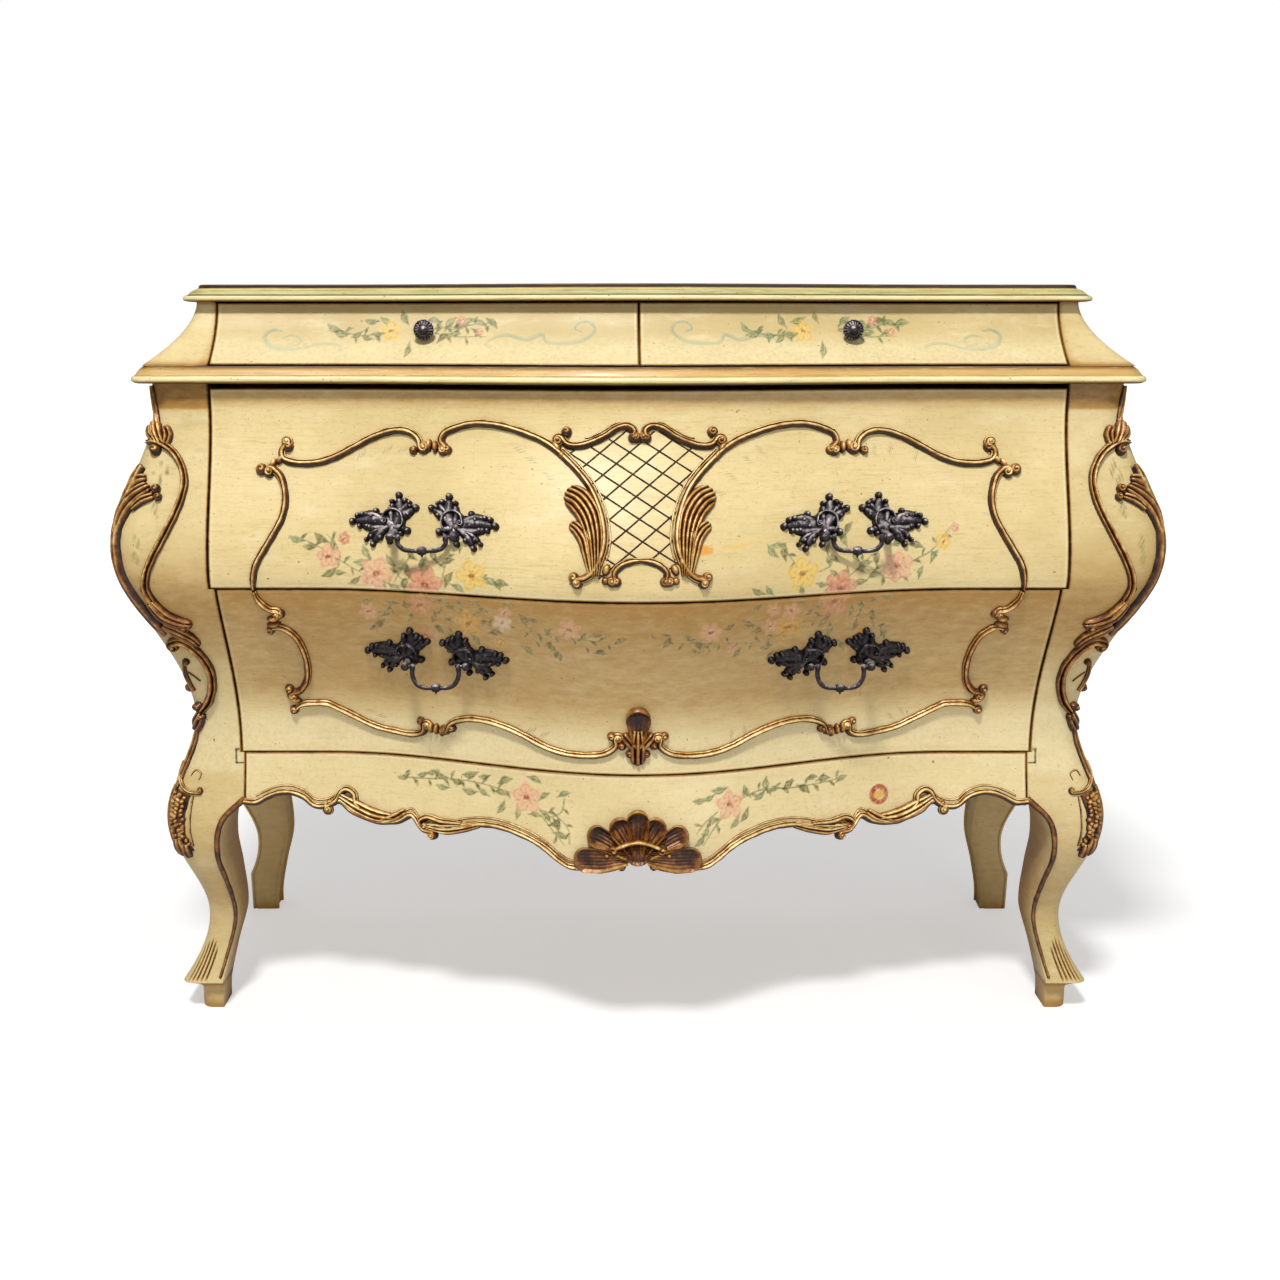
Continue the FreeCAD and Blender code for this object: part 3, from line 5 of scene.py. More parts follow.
import bmesh
import bpy
import numpy as np
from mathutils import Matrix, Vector


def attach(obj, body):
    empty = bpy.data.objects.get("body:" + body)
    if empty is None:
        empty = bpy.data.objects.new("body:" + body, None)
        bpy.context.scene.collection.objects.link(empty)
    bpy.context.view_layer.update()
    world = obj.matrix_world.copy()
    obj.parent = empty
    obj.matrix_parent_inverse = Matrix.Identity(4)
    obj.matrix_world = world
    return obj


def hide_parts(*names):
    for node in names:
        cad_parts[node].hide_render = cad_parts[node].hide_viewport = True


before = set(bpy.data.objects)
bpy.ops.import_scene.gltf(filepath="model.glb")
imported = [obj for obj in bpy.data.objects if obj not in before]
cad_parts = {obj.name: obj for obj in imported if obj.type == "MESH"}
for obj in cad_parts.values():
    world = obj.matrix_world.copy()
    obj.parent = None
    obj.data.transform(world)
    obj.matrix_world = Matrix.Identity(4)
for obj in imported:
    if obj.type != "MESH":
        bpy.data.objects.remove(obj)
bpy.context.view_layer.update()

MM = 0.001


# Profiles of the case. Keys are (height, value, haste), from the top down. The front and its posts
# follow FRONT_KEYS, SIDE_KEYS and CANT_KEYS, a close fit to their outline; the sides behind the
# posts follow BODY_KEYS, which are those of the part.

WAIST = 126
BACK = 269
FRONT_KEYS = ((790, 0, 1), (590, 50, 1), (375, -28, 0.8), (245, -4, 1), (118, -48, 1))
SIDE_KEYS = ((790, 577, 1), (620, 626, 1), (395, 557, 0.9), (268, 594, 1), (130, 559.5, 1))
BODY_KEYS = ((790, 586, 1), (615, 633.5, 1), (392, 567, 0.93), (245, 612, 0.9), (118, 566, 1))
CANT_KEYS = ((790, 30, 1), (590, 46, 1), (375, 26, 1), (245, 34, 1), (118, 16, 1))
BOW_KEYS = ((812, 52, 1), (576, 88, 1), (354, 96, 1))
BOW_HALF, UPPER_BOW = 388, 47
# Feet: how far back, half width and height of the toe and of the plinth under it
TOE_BACK, TOE_HALF, TOE_HEIGHT = 24, 592, 40
PLINTH_BACK, PLINTH_HALF, PLINTH_HEIGHT = 36, 571, 24
# Heights, from the legs up to the top board
LEG_TOP, LOWER_SEAM, UPPER_SEAM, RAIL_UNDER = 292, 354, 576, 807
WAIST_FOOT, WAIST_TOP, TOP_UNDER = 812, 832, 906
# Depths of the side boards and of their swell, half widths of the openings, reach of the top tier
SIDE_FRONT, SIDE_REAR, SWELL_DEPTH = -26, 207, 66
LOWER_INNER, MIDDLE_INNER, UPPER_INNER = 492, 497, 504
TIER_TOP, TIER_FOOT = -57, -2


def eased(keys, height):
    """Value at heights of a profile that runs level through its keys."""
    height = np.asarray(height, float)
    value = np.full(height.shape, float(keys[0][1]))
    for (top, start, _), (foot, end, haste) in zip(keys, keys[1:]):
        way = np.clip((top - height) / (top - foot), 0, 1) ** haste
        value = np.where(height < top, start + (end - start) * way * way * (3 - 2 * way), value)
    return value


def flared(keys, toe, height):
    """The same, with a leg that sweeps out below the last key."""
    foot, ankle, _ = keys[-1]
    way = np.clip((foot - np.asarray(height, float)) / (foot - TOE_HEIGHT), 0, 1)
    return np.where(way > 0, ankle + (toe - ankle) * way**2, eased(keys, height))


def front_at(z):
    return flared(FRONT_KEYS, -TOE_BACK, z)


def side_at(z):
    return flared(SIDE_KEYS, TOE_HALF, z)


def swelling(y, z):
    """Half width behind the front posts: the case swells in plan between its posts."""
    way = np.clip((np.asarray(y, float) - SIDE_FRONT) / SWELL_DEPTH, 0, 1)
    return side_at(z) + (flared(BODY_KEYS, TOE_HALF, z) - side_at(z)) * way * way * (3 - 2 * way)


def cant_at(z):
    return eased(CANT_KEYS, z)


def share(x):
    """Share of the bow at a distance from the middle."""
    return (1 + np.cos(np.pi * np.minimum(1, np.abs(x) / BOW_HALF))) / 2


def lower_ground(x, z):
    """Y of the front of the lower case, posts and their rounded corners included."""
    x, z = np.abs(np.asarray(x, float)), np.asarray(z, float)
    cant = cant_at(z)
    past = np.clip((x - (side_at(z) - cant)) / cant, 0, 0.985)
    y = -WAIST - front_at(z) - eased(BOW_KEYS, z) * share(x)
    return y + cant * (1 - np.sqrt(1 - past**2))


def cove(z, top, foot):
    """Hollow curve of the top tier."""
    way = np.clip((TOP_UNDER - np.asarray(z, float)) / (TOP_UNDER - WAIST_TOP), 0, 1)
    return top + (foot - top) * way**1.75


def tier_line(z):
    """Y of the top tier's front at its ends, where it has no bow."""
    return -WAIST - cove(z, TIER_TOP, TIER_FOOT)


def upper_ground(x, z):
    return tier_line(z) - UPPER_BOW * share(np.asarray(x, float))


def lifted(x, z, lift, step=0.6):
    """Places a distance off the lower front, square to it; its slope is read over a step."""
    x, z = np.asarray(x, float), np.asarray(z, float)
    limit = side_at(z) - 0.4
    x = np.clip(x, -limit, limit)
    y = lower_ground(x, z)
    across = (lower_ground(x + step, z) - lower_ground(x - step, z)) / (2 * step)
    up = (lower_ground(x, z + step) - lower_ground(x, z - step)) / (2 * step)
    size = np.sqrt(across**2 + up**2 + 1)
    return np.stack((x + lift * across / size, y - lift / size, z + lift * up / size), -1)


# Meshes

class Pile:
    """Points and faces that gather into one piece; each point's shade is 0 in hollows, 1 on ridges."""

    def __init__(self):
        self.points, self.faces, self.shades, self.count = [], [], [], 0

    def skin(self, rows, shades=None, caps=True):
        """Faces between rows of places; each row closes on itself."""
        rows = np.asarray(rows, float)
        n, m = rows.shape[:2]
        faces = []
        for i in range(n - 1):
            for j in range(m):
                k = (j + 1) % m
                faces.append((i * m + j, i * m + k, (i + 1) * m + k, (i + 1) * m + j))
        if caps:
            faces.append(tuple(range(m))[::-1])
            faces.append(tuple((n - 1) * m + j for j in range(m)))
        self.faces += [[i + self.count for i in face] for face in faces]
        self.points.append(rows.reshape(-1, 3))
        self.shades.append(np.full(n * m, 0.6) if shades is None else np.asarray(shades, float).reshape(-1))
        self.count += n * m


def turn_outwards(mesh):
    """Turns each closed part's faces outwards."""
    work = bmesh.new()
    work.from_mesh(mesh)
    bmesh.ops.recalc_face_normals(work, faces=work.faces)
    work.to_mesh(mesh)
    work.free()


def piece(name, pile, material, body, replaced=(), sharp=60, extra=None):
    """A piece of the object that moves with a body; extra holds values for each point."""
    mesh = bpy.data.meshes.new(name)
    mesh.from_pydata((np.concatenate(pile.points) * MM).tolist(), [], pile.faces)
    mesh.materials.append(material)
    mesh.polygons.foreach_set("use_smooth", [True] * len(mesh.polygons))
    mesh.update()
    turn_outwards(mesh)
    normals = np.zeros(len(mesh.vertices) * 3)
    mesh.vertices.foreach_get("normal", normals)
    # Painted light: a point's shade is raised where it faces up and lowered where it faces down, as if lit
    # from above.
    shades = np.clip(np.concatenate(pile.shades) * 0.78 + 0.1 + 0.3 * normals[2::3], 0, 1)
    for key, values in {"shade": shades, **(extra or {})}.items():
        kind, field = ("FLOAT_COLOR", "color") if values.ndim == 2 else ("FLOAT", "value")
        layer = mesh.attributes.new(key, kind, "POINT")
        layer.data.foreach_set(field, values.astype(np.float32).reshape(-1))
    mesh.set_sharp_from_angle(angle=math.radians(sharp))
    item = bpy.data.objects.new(name, mesh)
    bpy.context.scene.collection.objects.link(item)
    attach(item, body)
    if replaced:
        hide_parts(*replaced)


def board(name, rows, shade_and_dirt, replaced, sharp, paint=None, material=None, body="case"):
    """Painted piece with one skin; its darkening, mostly painted shade, and, where there is decoration,
    paint for each point.
    """
    pile = Pile()
    pile.skin(rows)
    shade_and_dirt = np.asarray(shade_and_dirt, float).reshape(-1)
    cover = np.zeros((len(shade_and_dirt), 4)) if paint is None else paint.reshape(-1, 4)
    layers = {"paint": cover, "shade_and_grime": shade_and_dirt}
    piece(name, pile, material or cream_post, body, replaced, sharp, layers)


# Carved strands, beads and leaves

def flowing(points, step=2.4):
    """Even places along a smooth curve through the points."""
    p = np.asarray(points, float)
    if len(p) == 2:
        count = max(3, int(np.hypot(*(p[1] - p[0])) / step))
        return p[0] + (p[1] - p[0]) * np.linspace(0, 1, count)[:, None]
    p = np.vstack((2 * p[0] - p[1], p, 2 * p[-1] - p[-2]))
    run = []
    for a, b, c, d in zip(p, p[1:], p[2:], p[3:]):
        count = max(2, int(np.hypot(*(c - b))))
        t = np.linspace(0, 1, count, endpoint=False)[:, None]
        k0, k1, k2 = (np.hypot(*(b - a)) ** 0.5, np.hypot(*(c - b)) ** 0.5, np.hypot(*(d - c)) ** 0.5)
        m1 = (c - b) - k1 * ((c - a) / (k0 + k1) - (b - a) / k0)
        m2 = (c - b) - k1 * ((d - b) / (k1 + k2) - (d - c) / k2)
        run.append(b + t * m1 + t**2 * (3 * (c - b) - 2 * m1 - m2) + t**3 * (2 * (b - c) + m1 + m2))
    run = np.vstack(run + [p[-2:-1]])
    along = np.concatenate(((0,), np.cumsum(np.hypot(*np.diff(run, axis=0).T))))
    count = max(4, int(along[-1] / step))
    even = np.linspace(0, along[-1], count)
    return np.stack((np.interp(even, along, run[:, 0]), np.interp(even, along, run[:, 1])), -1)


def curl(path, radius, side, turn=1.25):
    """A scroll that carries on from the end of a path, to its left (1) or right (-1)."""
    heading = math.atan2(*(path[-1] - path[-2])[::-1])
    place, out = path[-1].copy(), []
    count = int(turn * 22)
    for index in range(count):
        t = index / count
        now = radius * (1 - 0.72 * t)
        step = 2 * math.pi * turn / count
        heading += side * step
        place = place + now * step * np.array((math.cos(heading), math.sin(heading)))
        out.append(place)
    return np.array(out)


def sides_of(path):
    way = np.gradient(path, axis=0)
    way /= np.maximum(1e-6, np.hypot(way[:, 0], way[:, 1]))[:, None]
    return np.stack((-way[:, 1], way[:, 0]), -1)


# Sections of a strand across its width: (place, rise, tone)
# In STRAND the tones are partly painted light: a pale highlight near one edge and the crown, painted shade
# over the other half.
STRAND = ((-1, -0.15, 0), (-1, 0.2, 0.05), (-0.88, 0.52, 0.7), (-0.7, 0.6, 0.9), (-0.55, 0.34, 0.05),
          (-0.4, 0.58, 0.35), (-0.16, 0.94, 0.98), (0.1, 1, 0.78), (0.36, 0.9, 0.36), (0.62, 0.64, 0.1),
          (0.85, 0.34, 0), (1, -0.15, 0))
ROUND = ((-1, -0.15, 0), (-0.92, 0.35, 0.1), (-0.68, 0.74, 0.4), (-0.35, 0.95, 0.8), (0, 1, 0.95),
         (0.35, 0.95, 0.75), (0.68, 0.74, 0.35), (0.92, 0.35, 0.05), (1, -0.15, 0))
DOUBLE = ((-1, -0.15, 0), (-0.97, 0.3, 0.05), (-0.8, 0.72, 0.6), (-0.58, 0.82, 0.9), (-0.38, 0.62, 0.4),
          (-0.22, 0.4, 0.02), (-0.06, 0.62, 0.4), (0.16, 0.98, 0.85), (0.42, 1, 0.95), (0.66, 0.8, 0.45),
          (0.86, 0.42, 0.05), (1, -0.15, 0))
DULL = ((-1, -0.15, 0), (-0.9, 0.4, 0.1), (-0.6, 0.8, 0.42), (-0.2, 1, 0.5), (0.2, 1, 0.36),
        (0.6, 0.8, 0.2), (0.9, 0.4, 0.02), (1, -0.15, 0))
FLAT = ((-1, -0.15, 0), (-0.94, 0.7, 0), (-0.5, 1, 0.06), (0, 1, 0.1), (0.5, 1, 0.06), (0.94, 0.7, 0),
        (1, -0.15, 0))


def strand(pile, path, width, height, profile=STRAND, flip=1):
    """Carved strand along a path; width and height are numbers or one for each place."""
    path = np.asarray(path, float)
    width = np.broadcast_to(width, len(path)).astype(float)
    height = np.broadcast_to(height, len(path)).astype(float)
    aside = sides_of(path)
    wobble = 1 + 0.05 * np.sin(path[:, 0] * 0.31 + path[:, 1] * 0.23)
    rows, shades = [], []
    for a, h, tone in profile:
        x = path[:, 0] + aside[:, 0] * a * flip * width * wobble / 2
        z = path[:, 1] + aside[:, 1] * a * flip * width * wobble / 2
        rows.append(lifted(x, z, h * height))
        shades.append(np.full(len(path), tone))
    pile.skin(np.stack(rows, 1), np.stack(shades, 1))


def scroll(pile, points, width=8, height=6, start=None, end=None, flip=1, profile=STRAND):
    """Strand through points, with a curl (radius, side) at either end."""
    path = flowing(points)
    wide = np.full(len(path), float(width))
    tall = np.full(len(path), float(height))
    taper = np.minimum(1, np.arange(len(path)) / 6)
    if end:
        more = curl(path, *end)
        fade = np.linspace(1, 0.45, len(more))
        path, wide = np.vstack((path, more)), np.concatenate((wide, width * fade))
        tall = np.concatenate((tall, height * np.linspace(1, 1.25, len(more))))
    if start:
        more = curl(path[::-1], *start)[::-1]
        fade = np.linspace(0.45, 1, len(more))
        path, wide = np.vstack((more, path)), np.concatenate((width * fade, wide))
        tall = np.concatenate((height * np.linspace(1.25, 1, len(more)), tall))
    if not start:
        wide[: len(taper)] *= 0.55 + 0.45 * taper
    if not end:
        wide[-len(taper):] *= 0.55 + 0.45 * taper[::-1]
    strand(pile, path, wide, tall, profile, flip)
    for ends, tip in ((start, path[0]), (end, path[-1])):
        if ends:
            bead(pile, tip[0], tip[1], width * 0.42, height * 1.3)


def bead(pile, x, z, radius, height, stretch=(1, 1), angle=0):
    """Rounded bead on a front; a large one is wound like a snail."""
    wound = 1 if radius >= 5 and stretch == (1, 1) else 0
    turn = np.linspace(0, 2 * math.pi, 28 if wound else 14, endpoint=False)
    rows, shades = [], []
    for lift in (-0.2, 0, 0.2, 0.4, 0.58, 0.73, 0.84, 0.92, 0.97, 0.995):
        reach = math.sqrt(1 - max(0, lift) ** 2)
        groove = wound * (0.5 + 0.5 * np.cos(turn * math.copysign(1, x) + 9 * reach)) ** 2
        wide = radius * reach
        a, b = wide * stretch[0] * np.cos(turn), wide * stretch[1] * np.sin(turn)
        px = x + a * math.cos(angle) - b * math.sin(angle)
        pz = z + a * math.sin(angle) + b * math.cos(angle)
        rows.append(lifted(px, pz, height * lift * (1 - 0.22 * groove)))
        shades.append((0.02 + 0.8 * max(0, lift) ** 1.6) * (1 - 0.8 * groove))
    pile.skin(np.array(rows), np.array(shades))


def frond(pile, points, widths, height, ribs=3, scallop=0.14, scoop=0.0, fine=0):
    """Carved leaf with ribs along it and a rounded end; widths are half widths at even steps.

    A scoop hollows it inside a raised rim, and fine is the number of narrow ribs in that hollow.
    """
    spine = flowing(points, 1.5)
    length = float(np.hypot(*np.diff(spine, axis=0).T).sum())
    along = np.linspace(0, 1, len(spine))
    half = np.interp(along, np.linspace(0, 1, len(widths)), widths)
    aside, end = sides_of(spine), widths[-1]

    def outline(a, back):
        t = along * max(0.3, 1 - back / length)
        w = a * np.interp(t, along, half)
        return [np.interp(t, along, spine[:, i]) + np.interp(t, along, aside[:, i]) * w for i in (0, 1)]

    rows, shades = [], []
    for a in np.linspace(-1, 1, 9 * max(ribs, fine // 2) + 1):
        ridge = abs(math.sin(math.pi * ribs * (a + 1) / 2)) ** 0.6
        blunt = end * (1 - math.sqrt(1 - 0.97 * a * a))
        x, z = outline(a, blunt + scallop * end * (1 - ridge))
        if scoop:
            rim = np.maximum(abs(a) ** 3, np.clip((along - 0.7) / 0.24, 0, 1) ** 2)
            cut = abs(math.sin(math.pi * fine * (a + 1) / 2))
            rise = height * (1 - scoop * (1 - rim)) + 1.1 * (cut - 1) * (1 - rim)
            # Painted shade: inside the hollow the tone darkens towards the tip, under the raised rim.
            tone = 0.1 + 0.5 * rim + 0.62 * cut * (1 - along) ** 0.8 * (1 - rim)
        else:
            rise = height * (1 - 0.42 * a * a) * (0.45 + 0.55 * ridge)
            rise = rise * (0.6 + 0.4 * np.sin(np.pi * np.clip(along * 0.9 + 0.1, 0, 1)) ** 0.5)
            tone = (0.02 + 0.96 * ridge**1.6) * (1 - 0.3 * along) * (1 - 0.4 * a**6)
        fall = np.clip((1 - along) * length / 2.4, 0, 1) ** 0.5
        rows.append(lifted(x, z, rise * (0.3 + 0.7 * fall)))
        shades.append(tone * (0.4 + 0.6 * fall))
    for a in np.linspace(1, -1, 7):
        x, z = outline(a * 0.96, end * (1 - math.sqrt(1 - 0.97 * a * a)) + scallop * end)
        rows.append(lifted(x, z, np.full(len(along), -0.8)))
        shades.append(np.zeros(len(along)))
    pile.skin(np.stack(rows, 1), np.stack(shades, 1))


# Materials

EVEN = (1, 1, 1)


def linear(red, green, blue):
    """Colour as Blender works with it, from the usual 0 to 255 values."""
    def one(v):
        v /= 255
        return v / 12.92 if v <= 0.04045 else ((v + 0.055) / 1.055) ** 2.4
    return (one(red), one(green), one(blue), 1)


class Nodes:
    """Short names for the nodes of one material."""

    def __init__(self, name):
        self.material = bpy.data.materials.new(name)
        self.material.use_nodes = True
        self.tree = self.material.node_tree
        self.shader = self.tree.nodes["Principled BSDF"]
        self.place = self.tree.nodes.new("ShaderNodeTexCoord").outputs["Object"]

    def fill(self, socket, value):
        if isinstance(value, bpy.types.NodeSocket):
            self.tree.links.new(value, socket)
        else:
            socket.default_value = value

    def node(self, kind, inputs=None, **settings):
        """A new node; its inputs, named or numbered, get values or links."""
        made = self.tree.nodes.new(kind)
        for key, value in settings.items():
            setattr(made, key, value)
        for key, value in (inputs or {}).items():
            self.fill(made.inputs[key], value)
        return made

    def noise(self, scale, detail=4.0, rough=0.55, stretch=EVEN, shift=0.0):
        place = {"Vector": self.place, "Location": (shift, shift * 1.7, shift * 0.6), "Scale": stretch}
        moved = self.node("ShaderNodeMapping", place).outputs["Vector"]
        texture = {"Vector": moved, "Scale": scale, "Detail": detail, "Roughness": rough}
        return self.node("ShaderNodeTexNoise", texture).outputs["Fac"]

    def cracks(self, scale):
        inputs = {"Vector": self.place, "Scale": scale}
        return self.node("ShaderNodeTexVoronoi", inputs, feature="DISTANCE_TO_EDGE").outputs["Distance"]

    def ramp(self, value, low, high, start=0.0, end=1.0):
        inputs = {"Value": value, "From Min": low, "From Max": high, "To Min": start, "To Max": end}
        return self.node("ShaderNodeMapRange", inputs, interpolation_type="SMOOTHSTEP").outputs["Result"]

    def math(self, kind, a, b):
        return self.node("ShaderNodeMath", {0: a, 1: b}, operation=kind).outputs[0]

    def mix(self, share_of_second, first, second):
        inputs = {"Factor": share_of_second, 6: first, 7: second}
        return self.node("ShaderNodeMix", inputs, data_type="RGBA").outputs[2]

    def blot(self, colour, tint, texture, low, high, strength):
        """Blots of a tint where a noise runs from low to high."""
        return self.mix(self.ramp(self.noise(*texture), low, high, 0, strength), colour, linear(*tint))

    def steps(self, value, *stops):
        """Colours that follow one another with a value: (value, colour) pairs."""
        made = self.node("ShaderNodeValToRGB", {"Fac": value})
        band = made.color_ramp
        while len(band.elements) < len(stops):
            band.elements.new(0.5)
        for element, (place, colour) in zip(band.elements, stops):
            element.position = place
            element.color = linear(*colour)
        return made.outputs["Color"]

    def attribute(self, name, output="Fac"):
        return self.node("ShaderNodeAttribute", attribute_name=name).outputs[output]

    def bump(self, height, depth, strength=1.0):
        made = self.node("ShaderNodeBump", {"Strength": strength, "Distance": depth * MM, "Height": height})
        self.fill(self.shader.inputs["Normal"], made.outputs["Normal"])

    def finish(self, colour, rough, metallic=0.0, coat=0.0):
        for key, value in (("Base Color", colour), ("Roughness", rough), ("Metallic", metallic),
                           ("Coat Weight", coat), ("Coat Roughness", 0.35)):
            self.fill(self.shader.inputs[key], value)
        return self.material


def painted(name, light, dark, streak=(1, 1, 14)):
    """Antiqued paint: clouded, streaky, speckled and finely crackled, browned and darkened where a point's
    darkening is high, mostly painted shade.
    """
    n = Nodes(name)
    cloud = n.ramp(n.noise(5.5, 5, 0.6), 0.32, 0.7)
    colour = n.mix(cloud, linear(*light), linear(*dark))
    lines = n.ramp(n.noise(24, 6, 0.7, streak, 3.1), 0.47, 0.72, 0, 0.5)
    colour = n.mix(lines, colour, linear(206, 178, 114))
    colour = n.blot(colour, (190, 160, 98), (150, 4, 0.7, (1, 1, 2.2), 7.7), 0.5, 0.78, 0.45)
    colour = n.blot(colour, (250, 236, 190), (16, 5, 0.62, (1, 1, 3), 1.9), 0.52, 0.74, 0.34)
    cover = n.attribute("paint", "Alpha")
    wear = n.ramp(n.noise(210, 3, 0.6, EVEN, 5.3), 0.34, 0.6, 0.55, 1.0)
    colour = n.mix(n.math("MULTIPLY", cover, wear), colour, n.attribute("paint", "Color"))
    crack = n.ramp(n.cracks(95), 0.0, 0.03, 1, 0)
    patch = n.ramp(n.noise(9, 3, 0.5, EVEN, 9.2), 0.5, 0.7, 0, 0.3)
    colour = n.mix(n.math("MULTIPLY", crack, patch), colour, linear(150, 118, 66))
    colour = n.blot(colour, (92, 62, 30), (420, 2, 0.5, EVEN, 2.2), 0.715, 0.76, 0.75)
    colour = n.blot(colour, (110, 78, 40), (150, 2, 0.5, EVEN, 12.2), 0.735, 0.765, 0.7)
    ragged = n.ramp(n.noise(48, 5, 0.7, (1, 1, 2.6), 4.4), 0.25, 0.75, 0.74, 1.12)
    shade_and_dirt = n.math("MULTIPLY", n.attribute("shade_and_grime"), ragged)
    shade_and_dirt = n.math("MULTIPLY", shade_and_dirt, n.ramp(cover, 0, 1, 1, 0.5))
    # Painted shade: where the darkening is high the paint turns warm brown, standing also for warm light
    # bounced into the shade, and then dark brown.
    colour = n.mix(n.ramp(shade_and_dirt, 0, 0.42, 0, 0.9), colour, linear(176, 124, 42))
    colour = n.mix(n.ramp(shade_and_dirt, 0.4, 1.0, 0, 0.95), colour, linear(52, 32, 14))
    n.bump(n.math("ADD", n.math("MULTIPLY", lines, 0.5), n.noise(300, 3, 0.6)), 0.25, 0.3)
    return n.finish(colour, n.ramp(cloud, 0, 1, 0.4, 0.52), 0.0, 0.14)


def gilded(name, dull=0.0):
    """Worn gold leaf over red-brown ground: dark in hollows, gold and cream on ridges; darker underneath as
    painted shade, its palest cream partly a painted highlight.
    """
    n = Nodes(name)
    rub = n.noise(90, 5, 0.7)
    worn = n.math("ADD", n.attribute("shade"), n.ramp(rub, 0.25, 0.75, -0.18 - dull, 0.18 - dull))
    colour = n.steps(worn, (0.14, (36, 17, 6)), (0.34, (92, 48, 16)), (0.54, (154, 98, 38)),
                     (0.74, (208, 156, 76)), (0.93, (252, 228, 164)))
    colour = n.blot(colour, (140, 78, 34), (34, 4, 0.6, EVEN, 6), 0.5, 0.72, 0.4)
    colour = n.blot(colour, (50, 26, 12), (330, 2, 0.5, EVEN, 1.3), 0.68, 0.74, 0.75)
    n.bump(n.noise(220, 4, 0.6), 0.3, 0.45)
    return n.finish(colour, n.ramp(rub, 0.3, 0.7, 0.34, 0.46), 0.22, 0.2)


def glazed(name):
    """Moulding with bands of green gold, cream and brown, streaked along its length."""
    n = Nodes(name)
    band = n.attribute("paint", "Color")
    streak = n.ramp(n.noise(13, 6, 0.75, (1, 5, 26), 2.0), 0.42, 0.66, 0, 0.6)
    colour = n.mix(streak, band, linear(140, 118, 52))
    colour = n.blot(colour, (244, 222, 156), (26, 5, 0.7, (1, 5, 20), 8.0), 0.52, 0.7, 0.6)
    colour = n.blot(colour, (206, 146, 72), (9, 4, 0.6, (1, 3, 5), 5.0), 0.52, 0.72, 0.4)
    colour = n.mix(n.attribute("paint", "Alpha"), colour, band)
    colour = n.blot(colour, (64, 42, 18), (300, 2, 0.5, EVEN, 2.2), 0.68, 0.75, 0.7)
    n.bump(n.noise(200, 3, 0.6), 0.25, 0.35)
    return n.finish(colour, n.ramp(streak, 0, 0.5, 0.36, 0.48), 0.0, 0.2)


def bronzed(name):
    """Dark cast metal, black in hollows, a little worn, darker underneath as painted shade and with a
    painted grey highlight on its tops.
    """
    n = Nodes(name)
    rub = n.noise(170, 4, 0.6)
    worn = n.math("ADD", n.attribute("shade"), n.ramp(rub, 0.3, 0.7, -0.14, 0.14))
    colour = n.steps(worn, (0.2, (12, 9, 10)), (0.5, (34, 27, 29)), (0.78, (72, 63, 66)),
                     (0.97, (184, 174, 172)))
    n.bump(n.noise(260, 3, 0.6), 0.2, 0.5)
    return n.finish(colour, n.ramp(rub, 0.3, 0.7, 0.4, 0.54), 0.5)


def lined(name):
    """Thin dark painted line, uneven in depth."""
    n = Nodes(name)
    tone = n.ramp(n.noise(160, 4, 0.7), 0.35, 0.68)
    colour = n.mix(tone, linear(30, 19, 8), linear(80, 56, 26))
    n.bump(n.noise(300, 3, 0.6), 0.15, 0.4)
    return n.finish(colour, n.ramp(tone, 0, 1, 0.85, 0.95))


def wooden(name, light, dark, stretch):
    """Raw wood, its grain drawn out along the axis with the smallest stretch."""
    n = Nodes(name)
    grain = n.noise(38, 6, 0.62, stretch)
    colour = n.mix(n.ramp(grain, 0.34, 0.68), linear(*light), linear(*dark))
    colour = n.blot(colour, (96, 66, 38), (260, 3, 0.6, stretch, 3.3), 0.6, 0.72, 0.45)
    colour = n.blot(colour, (120, 88, 54), (6, 4, 0.6, EVEN, 8.8), 0.45, 0.75, 0.35)
    n.bump(grain, 0.3, 0.4)
    return n.finish(colour, n.ramp(grain, 0.3, 0.7, 0.55, 0.7))


cream = painted("cream_paint", (240, 217, 158), (224, 199, 138))
# Painted shade: a darker copy of the cream for the small drawers, whose fronts face up and catch more light.
cream_top_shaded = painted("cream_paint_top_shaded", (219, 196, 138), (203, 179, 119))
cream_post = painted("cream_paint_posts", (234, 211, 154), (214, 188, 126), (1, 1, 3))
gilt = gilded("gilt_carving", 0.09)
gilt_edge = gilded("gilt_moulding")
glaze = glazed("glazed_moulding")
bronze = bronzed("dark_bronze")
umber = lined("umber_line")
wood_across = wooden("raw_wood", (206, 172, 122), (176, 138, 90), (1, 9, 9))
wood_deep = wooden("raw_wood_sides", (210, 178, 128), (182, 146, 98), (9, 1, 9))


# Painted decoration: soft strokes laid on the points of a front

